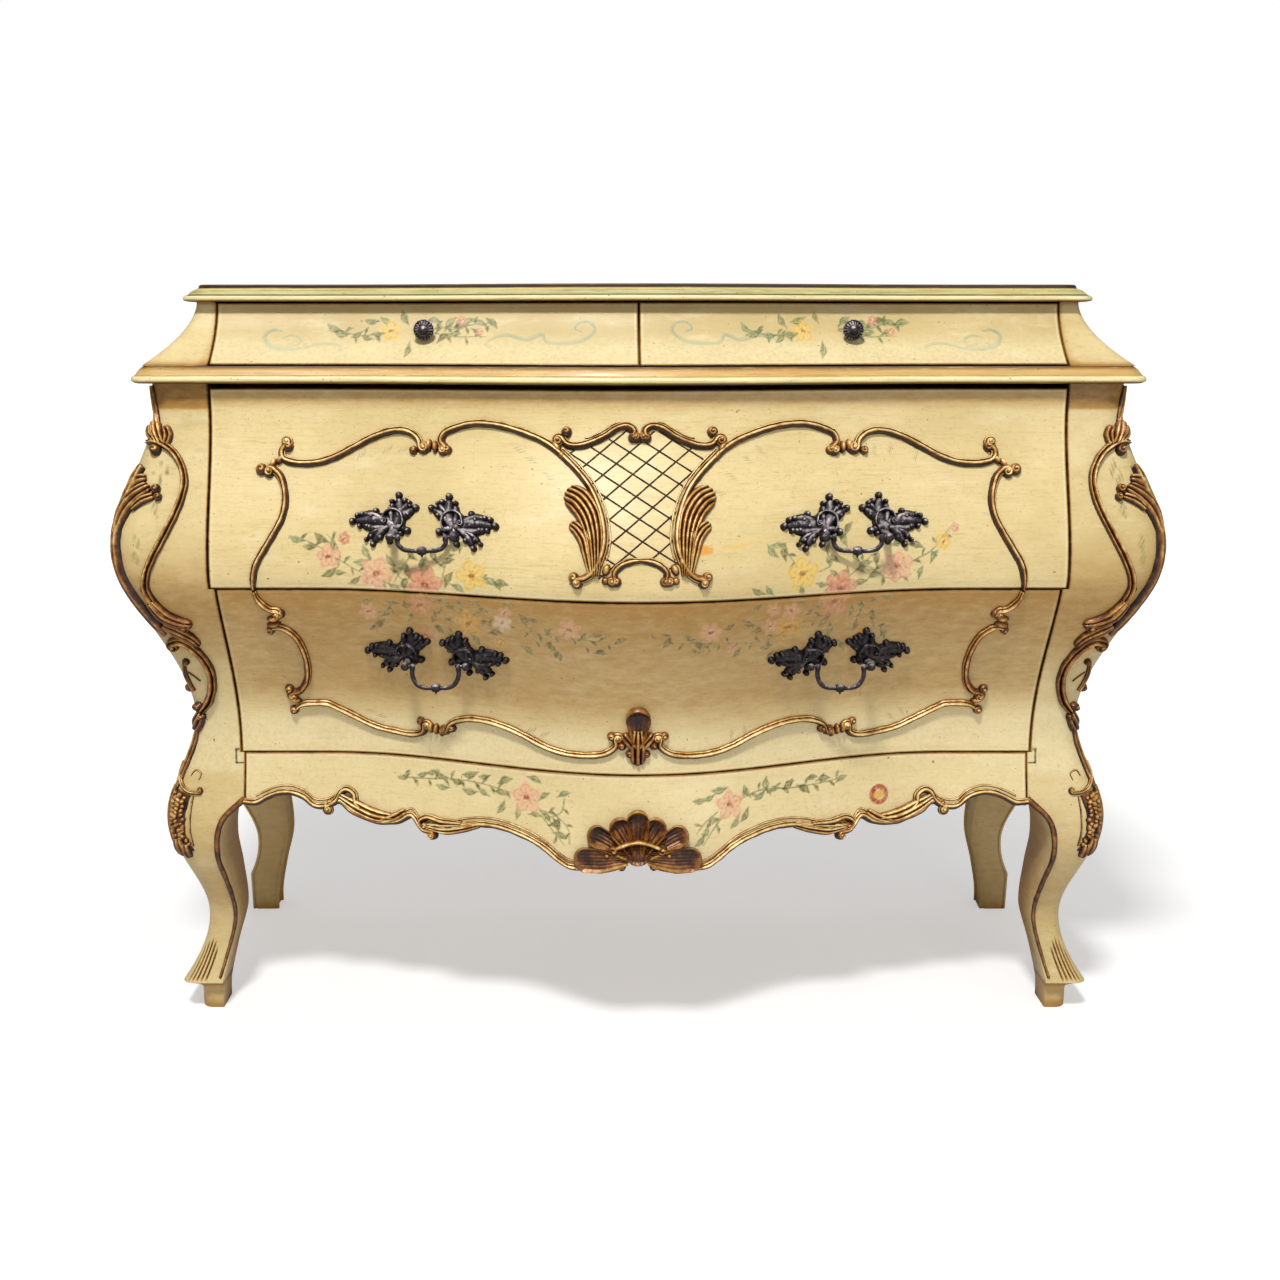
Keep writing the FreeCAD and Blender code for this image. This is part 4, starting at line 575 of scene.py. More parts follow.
class Paint:
    """Colour and cover for each point of a front, worked on stroke by stroke."""

    def __init__(self, x, z):
        self.x, self.z = x, z
        self.colour = np.zeros(x.shape + (3,))
        self.cover = np.zeros(x.shape)

    def lay(self, where, near, colour, strength):
        near = np.clip(near, 0, 1) * strength
        tone = np.array(linear(*colour)[:3])
        cover = self.cover[where]
        total = near + cover * (1 - near)
        keep = np.where(total > 1e-4, cover * (1 - near) / np.maximum(total, 1e-4), 0)
        self.colour[where] = self.colour[where] * keep[:, None] + tone * (1 - keep)[:, None]
        self.cover[where] = total

    def values(self, rear=0):
        """Colour and cover as one array, with some bare points after those of the front."""
        full = np.concatenate((self.colour, self.cover[..., None]), -1)
        return np.pad(full, ((0, 0), (0, rear), (0, 0)))

    def stroke(self, points, widths, colour, strength=0.9, soft=1.1):
        """Brush stroke through points, its half width going through the widths."""
        points = np.asarray(points, float)
        path = flowing(points, 2.0) if len(points) > 2 else np.linspace(points[0], points[1], 6)
        half = np.interp(np.linspace(0, 1, len(path)), np.linspace(0, 1, len(widths)), widths)
        reach = max(widths) + 3
        low, high = path.min(0) - reach, path.max(0) + reach
        box = (self.x > low[0]) & (self.x < high[0]) & (self.z > low[1]) & (self.z < high[1])
        if not box.any():
            return
        px, pz = self.x[box], self.z[box]
        best = np.full(px.shape, -1e9)
        for (ax, az), (bx, bz), wa, wb in zip(path, path[1:], half, half[1:]):
            dx, dz = bx - ax, bz - az
            t = np.clip(((px - ax) * dx + (pz - az) * dz) / max(1e-6, dx * dx + dz * dz), 0, 1)
            gap = np.hypot(px - ax - t * dx, pz - az - t * dz)
            best = np.maximum(best, wa + (wb - wa) * t - gap)
        self.lay(box, best / soft + 0.5, colour, strength)


SAGE, MOSS, SHADY = (160, 172, 112), (108, 118, 58), (46, 42, 16)
BLUSH, ROSE, WINE = (238, 180, 146), (220, 134, 106), (138, 48, 32)
SUN, AMBER, RUST = (242, 204, 96), (226, 166, 58), (150, 82, 26)
CELADON, STAIN = (148, 164, 132), (206, 150, 66)
FLOWERS = {"pink": (BLUSH, ROSE, WINE), "rose": (ROSE, (204, 108, 84), WINE), "yellow": (SUN, AMBER, RUST),
           "amber": (AMBER, (206, 138, 40), RUST), "pale": ((244, 226, 196), BLUSH, WINE)}


def towards(angle):
    return np.array((math.cos(angle), math.sin(angle)))


def leaf(paint, x, z, angle, size, tone=SAGE):
    """Painted leaf: a soft blade, a darker half and thin dark strokes for its edge and vein."""
    way, off = towards(angle), towards(angle + math.pi / 2)
    foot = np.array((x, z)) - way * size / 2
    middle, tip = foot + way * size * 0.5 + off * size * 0.1, foot + way * size
    paint.stroke([foot, middle, tip], (0.8, size * 0.25, 0.4), tone, 0.66, 1.8)
    paint.stroke([foot, middle - off * size * 0.1, tip], (0.4, size * 0.12, 0.3), MOSS, 0.55, 1.6)
    paint.stroke([foot, middle + off * size * 0.16, tip], (0.3, 0.85, 0.3), SHADY, 0.8, 0.9)
    paint.stroke([foot - way * 2, middle, tip - way * size * 0.2], (0.6, 0.5, 0.2), SHADY, 0.66, 0.9)
    vein = middle - off * size * 0.2 + way * size * 0.12
    paint.stroke([foot + way * size * 0.3, vein], (0.5, 0.3), SHADY, 0.7, 0.9)


def flower(paint, x, z, size, kind, turn=0.3, petals=5):
    """Painted open flower: soft petals, their deeper edges and veins, and a dotted dark heart."""
    pale, full, heart = FLOWERS[kind]
    middle = np.array((x, z))
    for k in range(petals):
        way = towards(turn + 2 * math.pi * k / petals)
        paint.stroke([middle + way * size * 0.12, middle + way * size * 0.5, middle + way * size * 0.8],
                     (size * 0.16, size * 0.36, size * 0.2), pale, 0.72, 2.4)
    for k in range(petals):
        angle = turn + 2 * math.pi * k / petals
        reach = size * (0.84 + 0.1 * math.sin(7 * k + x))
        rim = [middle + towards(angle + d) * reach * r for d, r in ((-0.5, 0.8), (-0.2, 1), (0.2, 1),
                                                                    (0.5, 0.8))]
        paint.stroke(rim, (0.35, 0.8, 0.9, 0.35), full, 0.7, 1.2)
        paint.stroke([middle + towards(angle + 0.15) * size * 0.16, middle + towards(angle) * size * 0.62],
                     (size * 0.1, 0.4), full, 0.6, 1.8)
        dent = middle + towards(angle + math.pi / petals) * size * 0.5
        paint.stroke([dent, dent + towards(angle + 0.4) * size * 0.26], (0.8, 0.3), heart, 0.55, 1.0)
    paint.stroke([middle - (size * 0.08, 0), middle + (size * 0.08, 0)],
                 (size * 0.12, size * 0.1), heart, 0.85, 1.2)
    for k in range(5):
        spot = middle + towards(1.3 * k + x) * size * 0.24
        paint.stroke([spot, spot + (0.4, 0.3)], (0.7, 0.7), heart if k % 2 else (250, 240, 206), 0.8, 0.8)


LIGHT_LEAVES = (SAGE, SAGE, MOSS, (168, 188, 134))
DARK_LEAVES = ((104, 116, 66), (78, 88, 42), (130, 138, 84), (62, 66, 30))


def spray(paint, flowers, leaves, stems, middle, seed, tones=LIGHT_LEAVES):
    """Stems first, then leaves that point away from a middle, then flowers: (x, z, size, kind)."""
    rng = random.Random(seed)
    for stem in stems:
        paint.stroke(stem, (0.9, 0.7, 0.5), MOSS, 0.7, 1.0)
        paint.stroke([(x + 0.9, z - 0.7) for x, z in stem], (0.3, 0.45, 0.2), SHADY, 0.6, 0.8)
        way = flowing(stem, 9.0)
        for k in range(1, len(way) - 1):
            turn = math.atan2(*(way[k + 1] - way[k - 1])[::-1]) + (1.0 if k % 2 else -1.0)
            turn += rng.uniform(-0.4, 0.4)
            spot = way[k] + towards(turn) * 6
            leaf(paint, spot[0], spot[1], turn, rng.uniform(7, 11), rng.choice(tones[1:3]))
    for x, z in leaves:
        out = math.atan2(z - middle[1], x - middle[0]) + rng.uniform(-0.9, 0.9)
        leaf(paint, x, z, out, rng.uniform(14, 20), rng.choice(tones))
    for index, (x, z, size, kind) in enumerate(flowers):
        flower(paint, x, z, size, kind, 0.4 + index, 5 + index % 2)


def sprig(paint, x, z, angle, size=10):
    """Three thin hatched leaves."""
    for k in (-1, 0, 1):
        spot = np.array((x, z)) + towards(angle) * k * size * 0.42
        way = towards(angle + 0.75)
        paint.stroke([spot - way * size * 0.45, spot + way * size * 0.2 + (0.8, 0), spot + way * size * 0.5],
                     (0.25, 0.85, 0.2), (112, 112, 62), 0.6, 1.0)


def painted_highlight_band(paint, low, high, strength):
    """Painted highlight: a paler band where the front leans out towards its foot and faces up."""
    every = np.ones(paint.x.shape, bool)
    near = np.clip((paint.z - low) / 12 + 0.6, 0, 1) * np.clip((high - paint.z) / 20, 0, 1)
    paint.lay(every, near.reshape(-1), (253, 238, 190), strength)


def paired_sprigs(paint, places, size=10):
    """Sprigs at places on the left, (x, z, angle), and mirrored on the right."""
    for s in (-1, 1):
        for x, z, angle in places:
            sprig(paint, -x * s, z, angle if s < 0 else math.pi - angle - 1.5, size)


def upper_painting(paint):
    paired_sprigs(paint, ((-325, 730, 0.5), (-294, 737, 0.4), (-275, 737, 0.2), (-138, 739, -0.5),
                          (-124, 728, -0.7), (-104, 711, -0.8), (-90, 694, -1)))
    spray(paint,
          ((-362, 615, 16, "pink"), (-343, 636, 8, "rose"), (-305, 597, 22, "pink"),
           (-247, 586, 24, "rose"), (-191, 600, 20, "yellow")),
          ((-399, 636), (-384, 627), (-370, 637), (-355, 630), (-362, 597), (-350, 598), (-332, 588),
           (-323, 611), (-316, 622), (-287, 613), (-265, 601), (-248, 611), (-235, 621), (-283, 581),
           (-218, 594), (-208, 584), (-170, 594), (-158, 592), (-203, 632), (-262, 620), (-219, 614),
           (-271, 586)),
          ([(-404, 632), (-388, 633), (-350, 612), (-320, 596), (-290, 586), (-262, 582)],
           [(-348, 614), (-352, 628), (-364, 641)], [(-287, 613), (-280, 597), (-262, 583)],
           [(-226, 596), (-222, 612), (-216, 630)], [(-262, 622), (-275, 603), (-284, 588)],
           [(-190, 600), (-170, 592), (-154, 597)]), (-262, 566), 3)
    spray(paint,
          ((185, 603, 21, "yellow"), (300, 606, 20, "pink"), (355, 632, 11, "yellow"),
           (231, 583, 22, "rose"), (369, 648, 6, "pink")),
          ((156, 637), (165, 628), (150, 630), (186, 584), (147, 586), (133, 586), (224, 619), (224, 602),
           (241, 650), (250, 620), (272, 596), (276, 616), (329, 598), (300, 630), (322, 628), (345, 616),
           (260, 608), (209, 590), (255, 588), (236, 640)),
          ([(213, 578), (236, 594), (255, 608), (276, 627)], [(300, 600), (322, 613), (341, 623),
                                                              (362, 647)],
           [(205, 604), (219, 612), (207, 637)], [(160, 634), (172, 620), (180, 606)],
           [(262, 609), (290, 592), (318, 596)]), (238, 566), 5)
    paint.stroke([(56, 633), (67, 634), (78, 633)], (5, 6, 4), (232, 152, 22), 0.85, 2.5)
    paint.stroke([(92, 634), (112, 636), (126, 640), (138, 641)], (1.5, 2.6, 1.6, 0.6),
                 (240, 190, 84), 0.6, 2.5)
    paint.stroke([(-175, 610), (-150, 611), (-112, 609)], (1.6, 1, 0.5), (206, 196, 96), 0.6, 1.2)


def lower_painting(paint):
    # Painted highlight on the lower part, which faces up.
    painted_highlight_band(paint, 362, 416, 0.5)
    paired_sprigs(paint, ((-330, 410, -0.4), (-316, 404, -0.4), (-128, 404, 0.2), (-112, 400, 0.3)), 9)
    spray(paint,
          ((-198, 541, 18, "amber"), (-157, 545, 12, "pale"), (-154, 558, 9, "pink"),
           (-80, 541, 14, "pink"), (-250, 521, 13, "rose"), (-318, 549, 12, "pink"),
           (-255, 561, 16, "rose"), (-160, 519, 8, "amber")),
          ((-320, 563), (-291, 562), (-270, 561), (-297, 550), (-308, 534), (-240, 546), (-268, 545),
           (-234, 529), (-221, 526), (-189, 566), (-179, 558), (-176, 542), (-166, 530), (-133, 550),
           (-121, 549), (-105, 534), (-129, 510), (-102, 515), (-94, 506), (-49, 534), (-44, 511),
           (-21, 528), (-191, 519), (-149, 568), (-220, 560), (-208, 563)),
          ([(-246, 575), (-228, 556), (-226, 540), (-236, 524)], [(-240, 572), (-210, 562), (-180, 548),
                                                                  (-143, 533)],
           [(-143, 533), (-110, 521), (-88, 505)], [(-136, 535), (-104, 533), (-74, 530), (-27, 525)],
           [(-262, 572), (-290, 556), (-310, 536), (-312, 520)], [(-78, 536), (-58, 517), (-40, 508)]),
           (-236, 590), 7, DARK_LEAVES)
    spray(paint,
          ((226, 567, 20, "rose"), (172, 539, 18, "amber"), (174, 559, 12, "pink"), (153, 562, 9, "pink"),
           (150, 541, 11, "pink"), (81, 537, 14, "pink"), (107, 515, 7, "pink"), (262, 520, 10, "amber")),
          ((132, 567), (124, 548), (136, 539), (101, 544), (56, 533), (30, 527), (112, 509), (70, 523),
           (147, 515), (152, 503), (213, 543), (222, 532), (246, 554), (258, 560), (272, 565), (274, 544),
           (290, 568), (240, 508), (290, 522), (196, 557), (182, 572), (254, 535), (206, 566)),
          ([(240, 575), (214, 552), (180, 540), (150, 524), (120, 520)], [(124, 522), (96, 522), (60, 525),
                                                                          (28, 524)],
           [(28, 524), (20, 530), (27, 537), (36, 533)], [(246, 572), (262, 552), (286, 530), (296, 512)],
           [(86, 530), (74, 516), (58, 505)]), (236, 590), 9, DARK_LEAVES)
    for x in (-228, 246, 262):
        paint.stroke([(x, 520), (x + 1, 500), (x - 2, 474)], (4, 5, 1), STAIN, 0.3, 5)
    paint.stroke([(-236, 482), (-250, 462), (-262, 450), (-276, 446)], (1.4, 2, 2.4, 0.8),
                 (190, 120, 50), 0.5, 2)
    for x, z in ((222, 452), (262, 446), (274, 440), (246, 462)):
        paint.stroke([(x, z + 8), (x, z - 5)], (0.8, 1.1), (176, 108, 46), 0.6, 1.2)


def apron_painting(paint):
    # Painted highlight on the apron, which faces up.
    painted_highlight_band(paint, 240, 420, 0.28)
    spray(paint, ((-134, 321, 20, "pink"),),
          ((-290, 329), (-266, 334), (-254, 338), (-242, 335), (-240, 322), (-221, 330), (-205, 341),
           (-187, 340), (-205, 321), (-187, 322), (-160, 337), (-166, 322), (-166, 306), (-146, 302),
           (-124, 342), (-112, 324), (-110, 300), (-123, 301), (-88, 328), (-93, 280), (-98, 292)),
          ([(-298, 328), (-262, 329), (-226, 332), (-190, 331), (-150, 324)], [(-118, 308), (-100, 304),
                                                                               (-84, 290), (-82, 272)],
           [(-116, 302), (-104, 288), (-88, 270)], [(-88, 324), (-92, 308), (-108, 300)]), (-170, 326), 11)
    spray(paint, ((111, 315, 19, "pink"),),
          ((74, 323), (85, 325), (98, 334), (133, 329), (148, 322), (167, 326), (186, 330), (205, 322),
           (231, 331), (255, 329), (129, 301), (117, 294), (92, 300), (81, 286), (74, 276), (158, 334),
           (216, 334)),
          ([(118, 318), (150, 328), (190, 326), (232, 328), (258, 331)], [(104, 304), (92, 290), (78, 270)],
           [(96, 308), (80, 296), (70, 284)]), (150, 326), 13)
    ring = [(304 + 9.5 * math.cos(t), 306 + 9.5 * math.sin(t)) for t in np.linspace(0, 6.2, 12)]
    paint.stroke(ring, (2.6, 3.4, 2.4), (176, 40, 26), 0.92, 1.2)
    paint.stroke([(301, 305), (307, 307)], (4.6, 4), (226, 168, 60), 0.85, 1.8)
    for x, z in ((298, 311), (310, 301), (306, 312), (300, 300)):
        paint.stroke([(x, z), (x + 1, z)], (1.2, 1), (92, 18, 14), 0.8, 1)


SHORT_CURL = ((-424, 872), (-434, 873), (-443, 867), (-439, 857), (-422, 852), (-397, 852), (-378, 857),
              (-362, 857), (-351, 853), (-353, 849))
SHORT_LOOP = ((-422, 864), (-411, 867), (-400, 862), (-403, 856), (-415, 857))
LONG_CURL = ((-171, 852), (-179, 856), (-169, 864), (-153, 867), (-130, 862), (-119, 866), (-112, 868),
             (-108, 860), (-86, 858), (-64, 862), (-51, 873), (-56, 881), (-68, 882), (-75, 875),
             (-66, 871))


SMALL_SPRAY = (
    ((-293, 872, 13, "yellow"), (-208, 884, 6, "pink"), (-186, 871, 5, "pink")),
    ((-317, 884), (-309, 869), (-321, 865), (-334, 868), (-352, 870), (-299, 885), (-272, 850), (-242, 883),
     (-221, 880), (-209, 876), (-215, 868), (-229, 864), (-200, 882), (-187, 880), (-172, 880), (-190, 869),
     (-361, 876), (-276, 888)),
    ((-360, 874), (-330, 867), (-300, 870)), ((-250, 874), (-215, 877), (-170, 882)),
    ((-250, 872), (-222, 866), (-180, 866)), ((-268, 870),))


def small_painting(paint, side):
    """Curls, mirrored on the right, round a spray, which is the same on both drawers."""
    for points, widths in ((SHORT_CURL, (1.2, 2.6, 3.4, 2.4, 1.8, 2.2, 1)), (SHORT_LOOP, (1, 1.4, 1)),
                           (LONG_CURL, (1, 1.6, 2.8, 2.6, 2, 2.8, 2.4, 1.6, 1))):
        way = [(x, z) if side < 0 else (-x - 13, z) for x, z in points]
        paint.stroke(way, widths, CELADON, 0.72, 1.3)
        paint.stroke([(x + 0.8, z - 1) for x, z in way], [w * 0.3 for w in widths], (112, 126, 96), 0.5, 1)
    for x, z in ((-170, 848), (-352, 850)):
        paint.stroke([(x * -side, z), (x * -side + 4, z - 2)], (1.6, 1), CELADON, 0.6, 1)
    # Painted highlight on the cove of the small front, which faces up.
    painted_highlight_band(paint, 836, 872, 0.45)
    shift = 0 if side < 0 else 486
    flowers, leaves, *stems, middle = [[(x + shift, *more) for x, *more in group] for group in SMALL_SPRAY]
    spray(paint, flowers, leaves, stems, middle[0], 15 + side)


# Fronts of drawers and the apron

GRID, EDGE_RADIUS, REAR_ROWS = 1.35, 1.8, 5
LONG_THICK, SMALL_THICK = 26, 30
SEAM_GAP, CLEARANCE, TIGHT = 0.75, 1.5, 0.4


def spaced(low, high, step, edge=2.2):
    """Places from low to high, close together at both ends, where the edge is rounded."""
    close = np.array((0, 0.25, 0.7, 1.3)) * edge / 2
    count = max(2, int((high - low - 2 * edge) / step))
    return np.concatenate((low + close, np.linspace(low + edge, high - edge, count), (high - close)[::-1]))


def rounding(distance):
    """How far an edge falls back at a distance inside it."""
    d = np.clip(EDGE_RADIUS - distance, 0, EDGE_RADIUS)
    return EDGE_RADIUS - np.sqrt(np.maximum(0, EDGE_RADIUS**2 - d**2))


def front(name, across, upright, ground, back, material, body, node, decorate, shade_and_grime=None):
    """Board with rounded edges; ground gives its front and back its rear face, both from x and z.

    Its ends are across, its lower and upper edge upright; the lower edge may be a function of x.
    """
    (x_low, x_high), (z_low, z_high) = across, upright
    xs = spaced(x_low, x_high, GRID)
    low = z_low(xs) if callable(z_low) else np.full(xs.shape, float(z_low))
    tall = z_high - low
    count = max(12, int(tall.max() / GRID))
    rise = np.concatenate(((0, 0.003, 0.009), np.linspace(0.015, 0.985, count), (0.991, 0.997, 1)))
    x = np.repeat(xs[:, None], len(rise), 1)
    z = low[:, None] + tall[:, None] * rise[None, :]
    inset = np.minimum(x - x_low, x_high - x)
    edge = np.minimum(z - low[:, None], z_high - z)
    fronts = np.stack((x, ground(x, z) + rounding(inset) + rounding(edge), z), -1)
    rear_x = np.repeat(xs[:, None], REAR_ROWS, 1)
    rear_z = low[:, None] + tall[:, None] * np.linspace(1, 0, REAR_ROWS)[None, :]
    rears = np.stack((rear_x, back(rear_x, rear_z), rear_z), -1)
    paint = Paint(x, z)
    decorate(paint)
    margin = np.minimum(inset, edge)
    # Painted highlight: a pale line a little inside each edge, where the rounded edge catches the light.
    edge_highlight = np.exp(-(((margin - 3.0) / 1.1) ** 2)).reshape(-1)
    paint.lay(np.ones(x.shape, bool), edge_highlight, (252, 240, 200), 0.5)
    # Painted shade: darker at the very edges, in the gaps between boards, and by height where the function
    # passed in gives more; the hidden rear rows get a fixed painted shade.
    near = np.exp(-((margin / 1.5) ** 2)) * 0.95
    if shade_and_grime is not None:
        near = np.maximum(near, shade_and_grime(z))
    shade_and_dirt = np.pad(near, ((0, 0), (0, REAR_ROWS)), constant_values=0.25)
    rows = np.concatenate((fronts, rears), 1)
    board(name, rows, shade_and_dirt, (node,), 50, paint.values(REAR_ROWS), material, body)


def lower_back(x, z):
    """Rear face of the long drawers' fronts: straight from seam to seam."""
    heights = (PLINTH_HEIGHT, LOWER_SEAM, UPPER_SEAM, 817)
    lines = [float(front_at(height)) for height in heights[:3]] + [0]
    out = np.interp(z, heights, lines) + np.interp(z, heights, (96, 96, 88, 52)) * share(x)
    return -WAIST - out + LONG_THICK


def upper_back(x, z):
    way = np.clip((np.asarray(z, float) - WAIST_TOP) / (TOP_UNDER - WAIST_TOP), 0, 1)
    return -WAIST - (TIER_FOOT + (TIER_TOP - TIER_FOOT) * way) - UPPER_BOW * share(x) + SMALL_THICK


# Painted shade on the drawer fronts by height: below the waist moulding, where the lower drawer turns down
# under its belly with a dark line under the seam, and below the top moulding.
def shade_under_waist(z):
    return 0.25 * np.clip((z - 778) / 14, 0, 1)


def shade_under_belly(z):
    return (0.26 * np.clip((z - 402) / 42, 0, 1) + 0.06 * np.clip((z - 490) / 60, 0, 1)
            + 0.2 * np.exp(-(575 - z) / 9))


def shade_under_top(z):
    return 0.35 * np.exp(-(904 - z) / 6)


upper_half, lower_half = UPPER_INNER - CLEARANCE, MIDDLE_INNER - CLEARANCE
front("upper_drawer_face", (-upper_half, upper_half), (UPPER_SEAM + SEAM_GAP, RAIL_UNDER - SEAM_GAP),
      lower_ground, lower_back, cream, "upper_long_drawer", "upper_long_drawer_front",
      upper_painting, shade_under_waist)
front("lower_drawer_face", (-lower_half, lower_half), (LOWER_SEAM + SEAM_GAP, UPPER_SEAM - SEAM_GAP),
      lower_ground, lower_back, cream, "lower_long_drawer", "lower_long_drawer_front",
      lower_painting, shade_under_belly)
for word, side, ends in (("left", -1, (-upper_half, -SEAM_GAP)), ("right", 1, (SEAM_GAP, upper_half))):
    front(f"{word}_small_face", ends, (WAIST_TOP + CLEARANCE, TOP_UNDER - CLEARANCE),
          upper_ground, upper_back, cream_top_shaded, f"{word}_small_drawer", f"{word}_small_drawer_front",
          lambda paint: small_painting(paint, side), shade_under_top)

APRON = ((-494, 288), (-478, 290), (-463, 297), (-448, 302), (-433, 302), (-418, 297), (-403, 286),
         (-388, 286), (-373, 292), (-357, 280), (-342, 274), (-326, 269), (-311, 269), (-295, 272),
         (-279, 280), (-264, 265), (-248, 272), (-232, 269), (-217, 274), (-201, 278), (-186, 280),
         (-171, 280), (-156, 278), (-141, 274), (-126, 269), (-111, 261), (-96, 250), (-82, 242),
         (-67, 241), (-39, 249), (0, 253))


def apron_low(x):
    line = flowing(APRON, 2.0)
    return np.interp(-np.abs(x), line[:, 0], line[:, 1])


apron_half = LOWER_INNER - TIGHT
front("apron_face", (-apron_half, apron_half), (apron_low, LOWER_SEAM - TIGHT),
      lower_ground, lower_back, cream, "case", "front_apron", apron_painting)


# Corner posts with their legs

LEG_INSIDE = ((541, 0), (540, 23.6), (531, 70.8), (518.5, 124), (521, 181), (525.5, 226), (518, 268.5),
              (492, 292))
LEG_BACK = ((0, -48.4), (24, -48.4), (71, -36), (118, -21), (245, -28), (292, -26), (812, -26))
POST_HEIGHTS = np.concatenate((
    (0, 0.8, 12, 23, 24), np.linspace(26, 40, 8), np.linspace(41, 120, 48), np.linspace(123, 290, 50),
    (292, 292.01), np.linspace(296, 335, 10), np.linspace(337, 353.99, 16), (354, 354.01),
    np.linspace(358, 575.99, 60), (576.01,), np.linspace(580, 811.6, 62)))
FACE_POINTS, FLUTE_DEPTH = 56, 2.4
POST_SPRIGS = ((556, 714, 2.0), (563, 702, 2.0), (566, 668, 1.6), (586, 630, 1.8), (588, 612, 1.8))
SEAM_NOTCH = (((503, 358), (503, 341)), ((503, 341), (493, 341)), ((503, 358), (497, 358)))
FLUTES = ((0.4, 84), (0.49, 92), (0.58, 96), (0.67, 92), (0.76, 84))


def leg_inner(z):
    line = flowing(LEG_INSIDE, 3.0)
    return float(np.interp(z, line[:, 1], line[:, 0]))


def hill(z, middle, spread):
    return math.exp(-(((z - middle) / spread) ** 2))


def post_level(z):
    """Outline of a post at one height, (x, y) and its darkening, which is painted shade, for each of its
    points.
    """
    if z < LEG_TOP:
        inner = leg_inner(z)
    else:
        inner = LOWER_INNER if z <= LOWER_SEAM else MIDDLE_INNER if z <= UPPER_SEAM else UPPER_INNER
    side, line, cant = float(side_at(z)), -WAIST - float(front_at(z)), float(cant_at(z))
    if z < TOE_HEIGHT:
        way = max(0, (z - PLINTH_HEIGHT) / (TOE_HEIGHT - PLINTH_HEIGHT)) ** 2.2
        side = PLINTH_HALF + (TOE_HALF - PLINTH_HALF) * way
        line = -WAIST + PLINTH_BACK + (TOE_BACK - PLINTH_BACK) * way
    back = float(np.interp(z, *zip(*LEG_BACK)))
    flat = np.linspace(inner + 0.6, side - cant, FACE_POINTS)
    turn = np.linspace(0, math.pi / 2, 32)[1:]
    corner = np.column_stack((side - cant + cant * np.sin(turn), line + cant * (1 - np.cos(turn))))
    row = np.concatenate(([(inner, line + 3)], np.column_stack((flat, np.full(FACE_POINTS, line))), corner))
    facing = np.tile((0.0, 1.0), (FACE_POINTS + 1, 1))
    facing = np.vstack((facing, np.column_stack((-np.sin(turn), np.cos(turn)))))
    way = np.concatenate(((0,), np.cumsum(np.hypot(*np.diff(row, axis=0).T))))
    way /= way[-1]
    groove = np.zeros(len(row))
    for middle, top in FLUTES:
        reach = np.clip((z - TOE_HEIGHT - 1) / 4, 0, 1) * np.clip((top - z) / 10, 0, 1)
        groove = np.maximum(groove, reach * np.exp(-(((way - middle) / 0.019) ** 2)))
    row = row + facing * FLUTE_DEPTH * groove[:, None]
    tail = [(side, y) for y in np.linspace(line + cant, back - 2, 8)[1:]]
    tail += [(side - 1.5, back), (inner + 1.5, back), (inner, back - 2)]
    row = np.vstack((row, tail))
    # Painted shade along the inner edge, in the gap beside the drawers.
    seam = 0.95 * np.exp(-((np.abs(row[:, 0] - inner) / 1.4) ** 2)) * (z > LEG_TOP)
    # Painted shade under the toe on the plinth, over the plinth, and at the floor.
    foot = 0.5 * np.exp(-abs(z - 36) / 4.0) * (z < 41) + 0.17 * (z < 39) + 0.4 * np.exp(-z / 5.0)
    # Painted shade on the front face by height: under the belly, below the waist moulding, on the leg and at
    # the knee.
    ahead = np.clip((line + cant + 6 - row[:, 1]) / 12, 0.2, 1)
    painted_shade_bands = ahead * (0.32 * hill(z, 545, 76) + 0.66 * np.clip((z - 780) / 6, 0, 1) + 0.2 * hill(z, 165, 60)
                    + 0.12 * hill(z, 250, 40))
    # Painted shade on the inner return face of the leg.
    shaded_return_face = 0.5 * ((row[:, 0] < inner + 2) & (row[:, 1] > line + 4)) * (z < 300)
    # Painted shade in the flutes of the toe.
    mark = np.concatenate((groove, np.zeros(len(tail))))
    return row, np.clip(np.maximum(mark, seam) + foot + painted_shade_bands + shaded_return_face, 0, 1)


def post(name, sign, node):
    rows, shade_and_dirt = [], []
    for z in POST_HEIGHTS:
        row, shade_and_grime = post_level(z)
        rows.append(np.column_stack((sign * row[:, 0], row[:, 1], np.full(len(row), z))))
        shade_and_dirt.append(shade_and_grime)
    places = np.array(rows)
    paint = Paint(places[..., 0], places[..., 2])
    # Painted highlight where the post leans out above the knee and faces up.
    painted_highlight_band(paint, 330, 425, 0.45)
    for notch in SEAM_NOTCH:
        paint.stroke([(sign * x, z) for x, z in notch], (1.3, 1.3), (40, 24, 8), 0.95, 0.9)
    for x, z, angle in POST_SPRIGS:
        for again in (0, 1.2):
            sprig(paint, sign * x + again, z, angle if sign < 0 else math.pi - angle, 13)
    board(name, places, shade_and_dirt, (node,), 42, paint.values())


